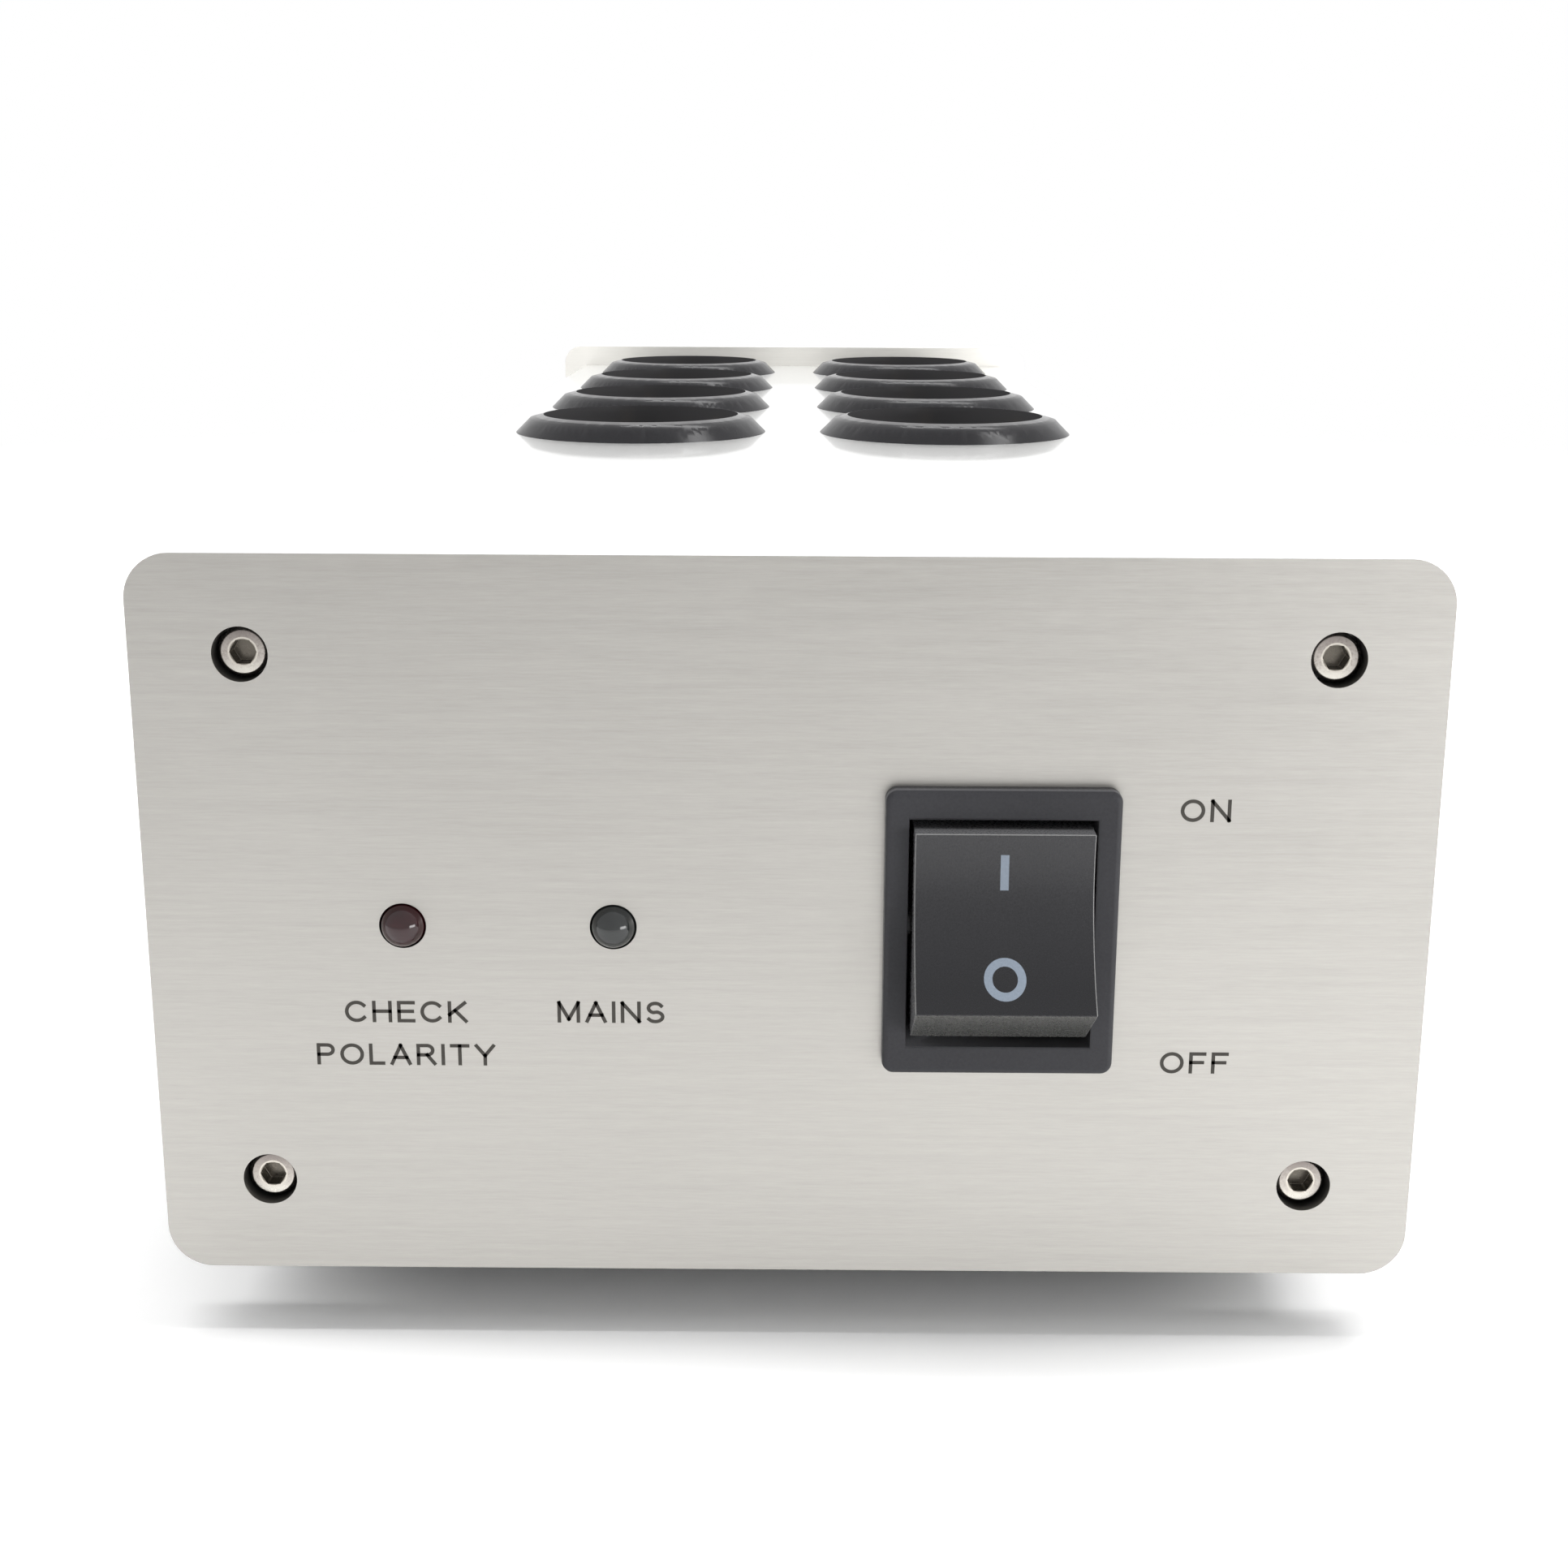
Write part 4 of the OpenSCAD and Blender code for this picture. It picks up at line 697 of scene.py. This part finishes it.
BOWL_SHARES = [(0, 0), (0, 1)] + arc(0.42, 0.74, 0.27, 0.26, 90, -90) + [(0, 0.48)]
GLYPH_SHARES = {
    "A": (0.84, [[(0, 0), (0.42, 1)], [(0.42, 1), (0.84, 0)], [(0.14, 0.33), (0.70, 0.33)]]),
    "C": (0.88, [arc(0.47, 0.5, 0.47, 0.5, 42, 318, 24)]),
    "E": (0.68, [[(0.68, 0), (0, 0), (0, 1), (0.68, 1)], [(0, 0.52), (0.63, 0.52)]]),
    "F": (0.64, [[(0, 0), (0, 1), (0.64, 1)], [(0, 0.52), (0.55, 0.52)]]),
    "H": (0.76, [[(0, 0), (0, 1)], [(0.76, 0), (0.76, 1)], [(0, 0.52), (0.76, 0.52)]]),
    "I": (0.0, [[(0, 0), (0, 1)]]),
    "K": (0.76, [[(0, 0), (0, 1)], [(0.72, 1), (0, 0.36)], [(0.26, 0.58), (0.76, 0)]]),
    "L": (0.58, [[(0, 1), (0, 0), (0.58, 0)]]),
    "M": (
        0.90,
        [
            [(0, 0), (0, 1)],
            [(0, 1), (0.45, 0.1)],
            [(0.45, 0.1), (0.90, 1)],
            [(0.90, 1), (0.90, 0)],
        ],
    ),
    "N": (0.78, [[(0, 0), (0, 1)], [(0, 1), (0.78, 0)], [(0.78, 0), (0.78, 1)]]),
    "O": (0.96, [arc(0.48, 0.5, 0.48, 0.5, 0, 360, 32)]),
    "P": (0.69, [BOWL_SHARES]),
    "R": (0.76, [BOWL_SHARES, [(0.42, 0.48), (0.76, 0)]]),
    "S": (0.70, [arc(0.35, 0.74, 0.32, 0.26, 28, 252) + arc(0.35, 0.26, 0.35, 0.27, 76, -150)]),
    "T": (0.76, [[(0, 1), (0.76, 1)], [(0.38, 1), (0.38, 0)]]),
    "Y": (0.80, [[(0, 1), (0.40, 0.46)], [(0.80, 1), (0.40, 0.46)], [(0.40, 0.46), (0.40, 0)]]),
}
SAME_POINT = 0.01 * MM

# A stroke grows wider at a corner, but no more than where half its turn has this cosine
SHARPEST_MITRE = 0.70


def stroke(bm, points, closed):
    """A flat ribbon along points (x, z) that stands a hair out of the panel's face."""
    count = len(points)
    sides = []
    for k, point in enumerate(points):
        before = points[k - 1] if k or closed else None
        after = points[(k + 1) % count] if k < count - 1 or closed else None
        ways = [
            (Vector(b) - Vector(a)).normalized()
            for a, b in ((before, point), (point, after))
            if a is not None and b is not None
        ]
        way = sum(ways, Vector((0, 0))).normalized()
        normal = Vector((-way.y, way.x))
        reach = STROKE_W / 2 / max(SHARPEST_MITRE, way.dot(ways[0]))
        end = Vector((0, 0))
        if len(ways) == 1:
            end = way * STROKE_W / 2 * (-1 if before is None else 1)
        sides.append([Vector(point) + end + normal * reach * side for side in (-1, 1)])
    front, back = FACE_Y - STROKE_PROUD, FACE_Y + STROKE_SUNK
    rings = [
        [
            bm.verts.new((x, y, z))
            for (x, z), y in ((low, front), (high, front), (high, back), (low, back))
        ]
        for low, high in sides
    ]
    join_rings(bm, rings, closed)


def legend(name, word, x, z):
    """A word cut into the front panel, centred at x and at z over the panel's lower edge."""
    widths = [GLYPH_SHARES[letter][0] * LETTER_WIDTH_SHARE for letter in word]
    total = sum(widths) + LETTER_GAP_SHARE * (len(word) - 1)
    left = x - total * LETTER_H / 2
    low = PANEL_LOW.z + z - LETTER_H / 2
    bm = bmesh.new()
    for letter, width in zip(word, widths):
        for points in GLYPH_SHARES[letter][1]:
            placed = [
                (left + px * LETTER_WIDTH_SHARE * LETTER_H, low + pz * LETTER_H)
                for px, pz in points
            ]
            closed = (Vector(placed[0]) - Vector(placed[-1])).length < SAME_POINT
            stroke(bm, placed[:-1] if closed else placed, closed)
        left += (width + LETTER_GAP_SHARE) * LETTER_H
    new_piece(name, bm, "unit", "panel_metal", ENGRAVING)


ENGRAVING = moulded("engraving_fill", (0.045, 0.040, 0.034), 0.6, 0.8, 0.01, 0.2)
legend("legend_on", "ON", 44.9 * MM, 54.6 * MM)
legend("legend_off", "OFF", 45.1 * MM, 25.55 * MM)
legend("legend_left_lamp_1", "CHECK", -42.0 * MM, 31.0 * MM)
legend("legend_left_lamp_2", "POLARITY", -42.2 * MM, 25.95 * MM)
legend("legend_right_lamp", "MAINS", -19.4 * MM, 31.1 * MM)

# Rocker marks, printed on the hollow face of the tilted rocker
MARK_PROUD = 0.012 * MM
MARK_SUNK = 0.1 * MM
MARK_PRINT = moulded("mark_print", (0.27, 0.32, 0.39), 0.4, 0.5, 0.004, 0.2)


def rocker_mark(name, pairs, closed):
    """A band on the rocker's face between pairs of points (x, s)."""
    bm = bmesh.new()
    rings = []
    for a, b in pairs:
        corners = ((a, MARK_PROUD), (b, MARK_PROUD), (b, -MARK_SUNK), (a, -MARK_SUNK))
        rings.append([bm.verts.new(on_rocker(x, s, proud)) for (x, s), proud in corners])
    join_rings(bm, rings, closed)
    new_piece(name, bm, "rocker", "switch_plastic", MARK_PRINT)


BAR_W = 0.9 * MM
BAR_H = 3.75 * MM
BAR_S = 5.45 * MM
RING_OUT = 2.25 * MM
RING_IN = 1.35 * MM
RING_S = -5.8 * MM
BAR_STEPS = 8
RING_STEPS = 48


def bar_pair(k):
    """The two ends of the bar's cross line number k."""
    s = BAR_S + BAR_H * (k / BAR_STEPS - 0.5)
    return (-BAR_W / 2, s), (BAR_W / 2, s)


def ring_pair(k):
    """The outer and the inner point of the ring at its step k."""
    turn = math.tau * k / RING_STEPS
    return [(r * math.cos(turn), RING_S + r * math.sin(turn)) for r in (RING_OUT, RING_IN)]


rocker_mark("mark_on", [bar_pair(k) for k in range(BAR_STEPS + 1)], False)
rocker_mark("mark_off", [ring_pair(k) for k in range(RING_STEPS)], True)


# Floor, background and lights
def backdrop_rays(tree):
    """One on the camera's rays, past mirrors and glass too, until they meet a dull surface."""
    path = tree.nodes.new("ShaderNodeLightPath")
    rays = path.outputs["Is Camera Ray"]
    for other in ("Is Glossy Ray", "Is Transmission Ray"):
        rays = math_node(tree, "MAXIMUM", rays, path.outputs[other])
    direct = math_node(tree, "LESS_THAN", path.outputs["Diffuse Depth"], 0.5)
    return math_node(tree, "MULTIPLY", rays, direct)


# Lights: an even one, a broad one overhead with its spread and lean in degrees, and a strip
# over the panel with its sizes and places in metres
WORLD_LIGHT = 0.26
SUN_LIGHT = 0.65
SUN_SPREAD = 60
SUN_TILT = 4
STRIP_LIGHT = 8.6
STRIP_LENGTH = 9.0
STRIP_WIDTH = 0.38
STRIP_HEIGHT = 2.5
STRIP_BEHIND = 0.07

# Floor, in metres and tones. FLOOR_SEEN is its tone to the camera and mirrors, and mirrors see
# it brighter by FLOOR_MIRRORED just before the panel, a painted pool of light. It turns to plain
# white between WHITE_FROM and WHITE_PAST away from the origin
FLOOR_HALF = 12
FLOOR_DROP = 0.02 * MM
FLOOR_TONE = 0.90
FLOOR_SEEN = 1.22
FLOOR_MIRRORED = 0.35
MIRRORED_FROM = FACE_Y - 260 * MM
MIRRORED_FULL = FACE_Y - 60 * MM
WHITE_FROM = 0.45
WHITE_PAST = 0.90


def make_world():
    """Even light, which the camera and mirrors see as white."""
    world = bpy.data.worlds.new("studio")
    scene.world = world
    world.use_nodes = True
    tree = world.node_tree
    background = tree.nodes["Background"]
    background.inputs["Color"].default_value = (1, 1, 1, 1)
    level = tree.nodes.new("ShaderNodeMapRange")
    level.inputs["To Min"].default_value = WORLD_LIGHT
    level.inputs["To Max"].default_value = 1.0
    tree.links.new(backdrop_rays(tree), level.inputs["Value"])
    tree.links.new(level.outputs["Result"], background.inputs["Strength"])


def floor_paint():
    """Pale paint, whiter to the camera and mirrors than to the part, with a painted pool of light before the panel
    for mirrors, and far off plain white.
    """
    look = Look("studio_floor")
    seen = backdrop_rays(look.tree)
    path = look.add("ShaderNodeLightPath")
    mirrored = look.maths("MULTIPLY", seen, path.outputs["Is Glossy Ray"])
    along = look.at("Y")
    before = look.maths(
        "MULTIPLY",
        look.maths("LESS_THAN", along, FACE_Y),
        look.ramped(along, MIRRORED_FROM, MIRRORED_FULL),
    )
    extra = look.maths("MULTIPLY", seen, FLOOR_SEEN - FLOOR_TONE)
    # Painted pool of light on the floor just before the panel, which only mirrors see
    shine = look.maths("MULTIPLY", look.maths("MULTIPLY", mirrored, before), FLOOR_MIRRORED)
    tone = look.maths("ADD", look.maths("ADD", extra, shine), FLOOR_TONE)
    paint = look.add("ShaderNodeBsdfDiffuse")
    look.links.new(tone, paint.inputs["Color"])
    place = look.add("ShaderNodeTexCoord")
    away = look.add("ShaderNodeVectorMath", operation="LENGTH")
    look.links.new(place.outputs["Object"], away.inputs[0])
    far = look.ramped(away.outputs["Value"], WHITE_FROM, WHITE_PAST)
    white = look.add("ShaderNodeEmission")
    both = look.add("ShaderNodeMixShader")
    look.links.new(look.maths("MULTIPLY", seen, far), both.inputs["Fac"])
    look.links.new(paint.outputs["BSDF"], both.inputs[SHADER_FIRST])
    look.links.new(white.outputs["Emission"], both.inputs[SHADER_SECOND])
    look.links.new(both.outputs["Shader"], look.nodes["Material Output"].inputs["Surface"])
    look.material.cycles.emission_sampling = "NONE"
    return look.material


def make_floor():
    """A wide floor just under the feet."""
    bm = bmesh.new()
    bmesh.ops.create_grid(bm, x_segments=8, y_segments=8, size=FLOOR_HALF)
    mesh = bpy.data.meshes.new("studio_floor")
    bm.to_mesh(mesh)
    bm.free()
    floor = bpy.data.objects.new("studio_floor", mesh)
    scene.collection.objects.link(floor)
    floor.location.z = -FLOOR_DROP
    set_look(floor, floor_paint())


def new_lamp(name, kind):
    """A lamp in the scene and its settings."""
    data = bpy.data.lights.new(name, kind)
    lamp = bpy.data.objects.new(name, data)
    scene.collection.objects.link(lamp)
    return lamp, data


def new_panel_lamp(name, width, height, brightness):
    """A flat lamp that looks down, with a surface as bright as it says."""
    lamp, data = new_lamp(name, "AREA")
    data.shape = "RECTANGLE"
    data.size = width
    data.size_y = height
    data.energy = brightness * math.pi * width * height
    return lamp


def overhead_light():
    """Broad light from above, which mirrors leave out."""
    lamp, data = new_lamp("overhead_light", "SUN")
    data.energy = SUN_LIGHT
    data.angle = math.radians(SUN_SPREAD)
    lamp.rotation_euler.x = math.radians(SUN_TILT)
    lamp.visible_glossy = False


def overhead_strip():
    """A long light across the part, which mirrors leave out: it draws the panel's shadow."""
    lamp = new_panel_lamp("overhead_strip", STRIP_LENGTH, STRIP_WIDTH, STRIP_LIGHT)
    lamp.location = (0, FACE_Y + STRIP_BEHIND, STRIP_HEIGHT)
    lamp.visible_glossy = False


def softbox(name, direction, distance, width, height, brightness):
    """A flat lamp that faces the origin from a direction, at a distance in metres."""
    lamp = new_panel_lamp(name, width, height, brightness)
    lamp.location = Vector(direction).normalized() * distance
    lamp.rotation_euler = (-lamp.location).to_track_quat("-Z", "Y").to_euler()


make_world()
make_floor()
overhead_light()
overhead_strip()
for name, direction, distance, width, height, brightness in (
    ("right_light", (0.66, -0.74, 0.08), 0.75, 0.36, 0.12, 10),
    ("upper_right_light", (0.43, 0.10, 0.90), 1.5, 0.30, 0.34, 9),
    ("upper_rear_light", (0.10, 0.50, 0.86), 1.5, 0.70, 0.16, 9),
):
    softbox(name, direction, distance, width, height, brightness)

scene.view_settings.view_transform = "Standard"

bpy.context.view_layer.update()
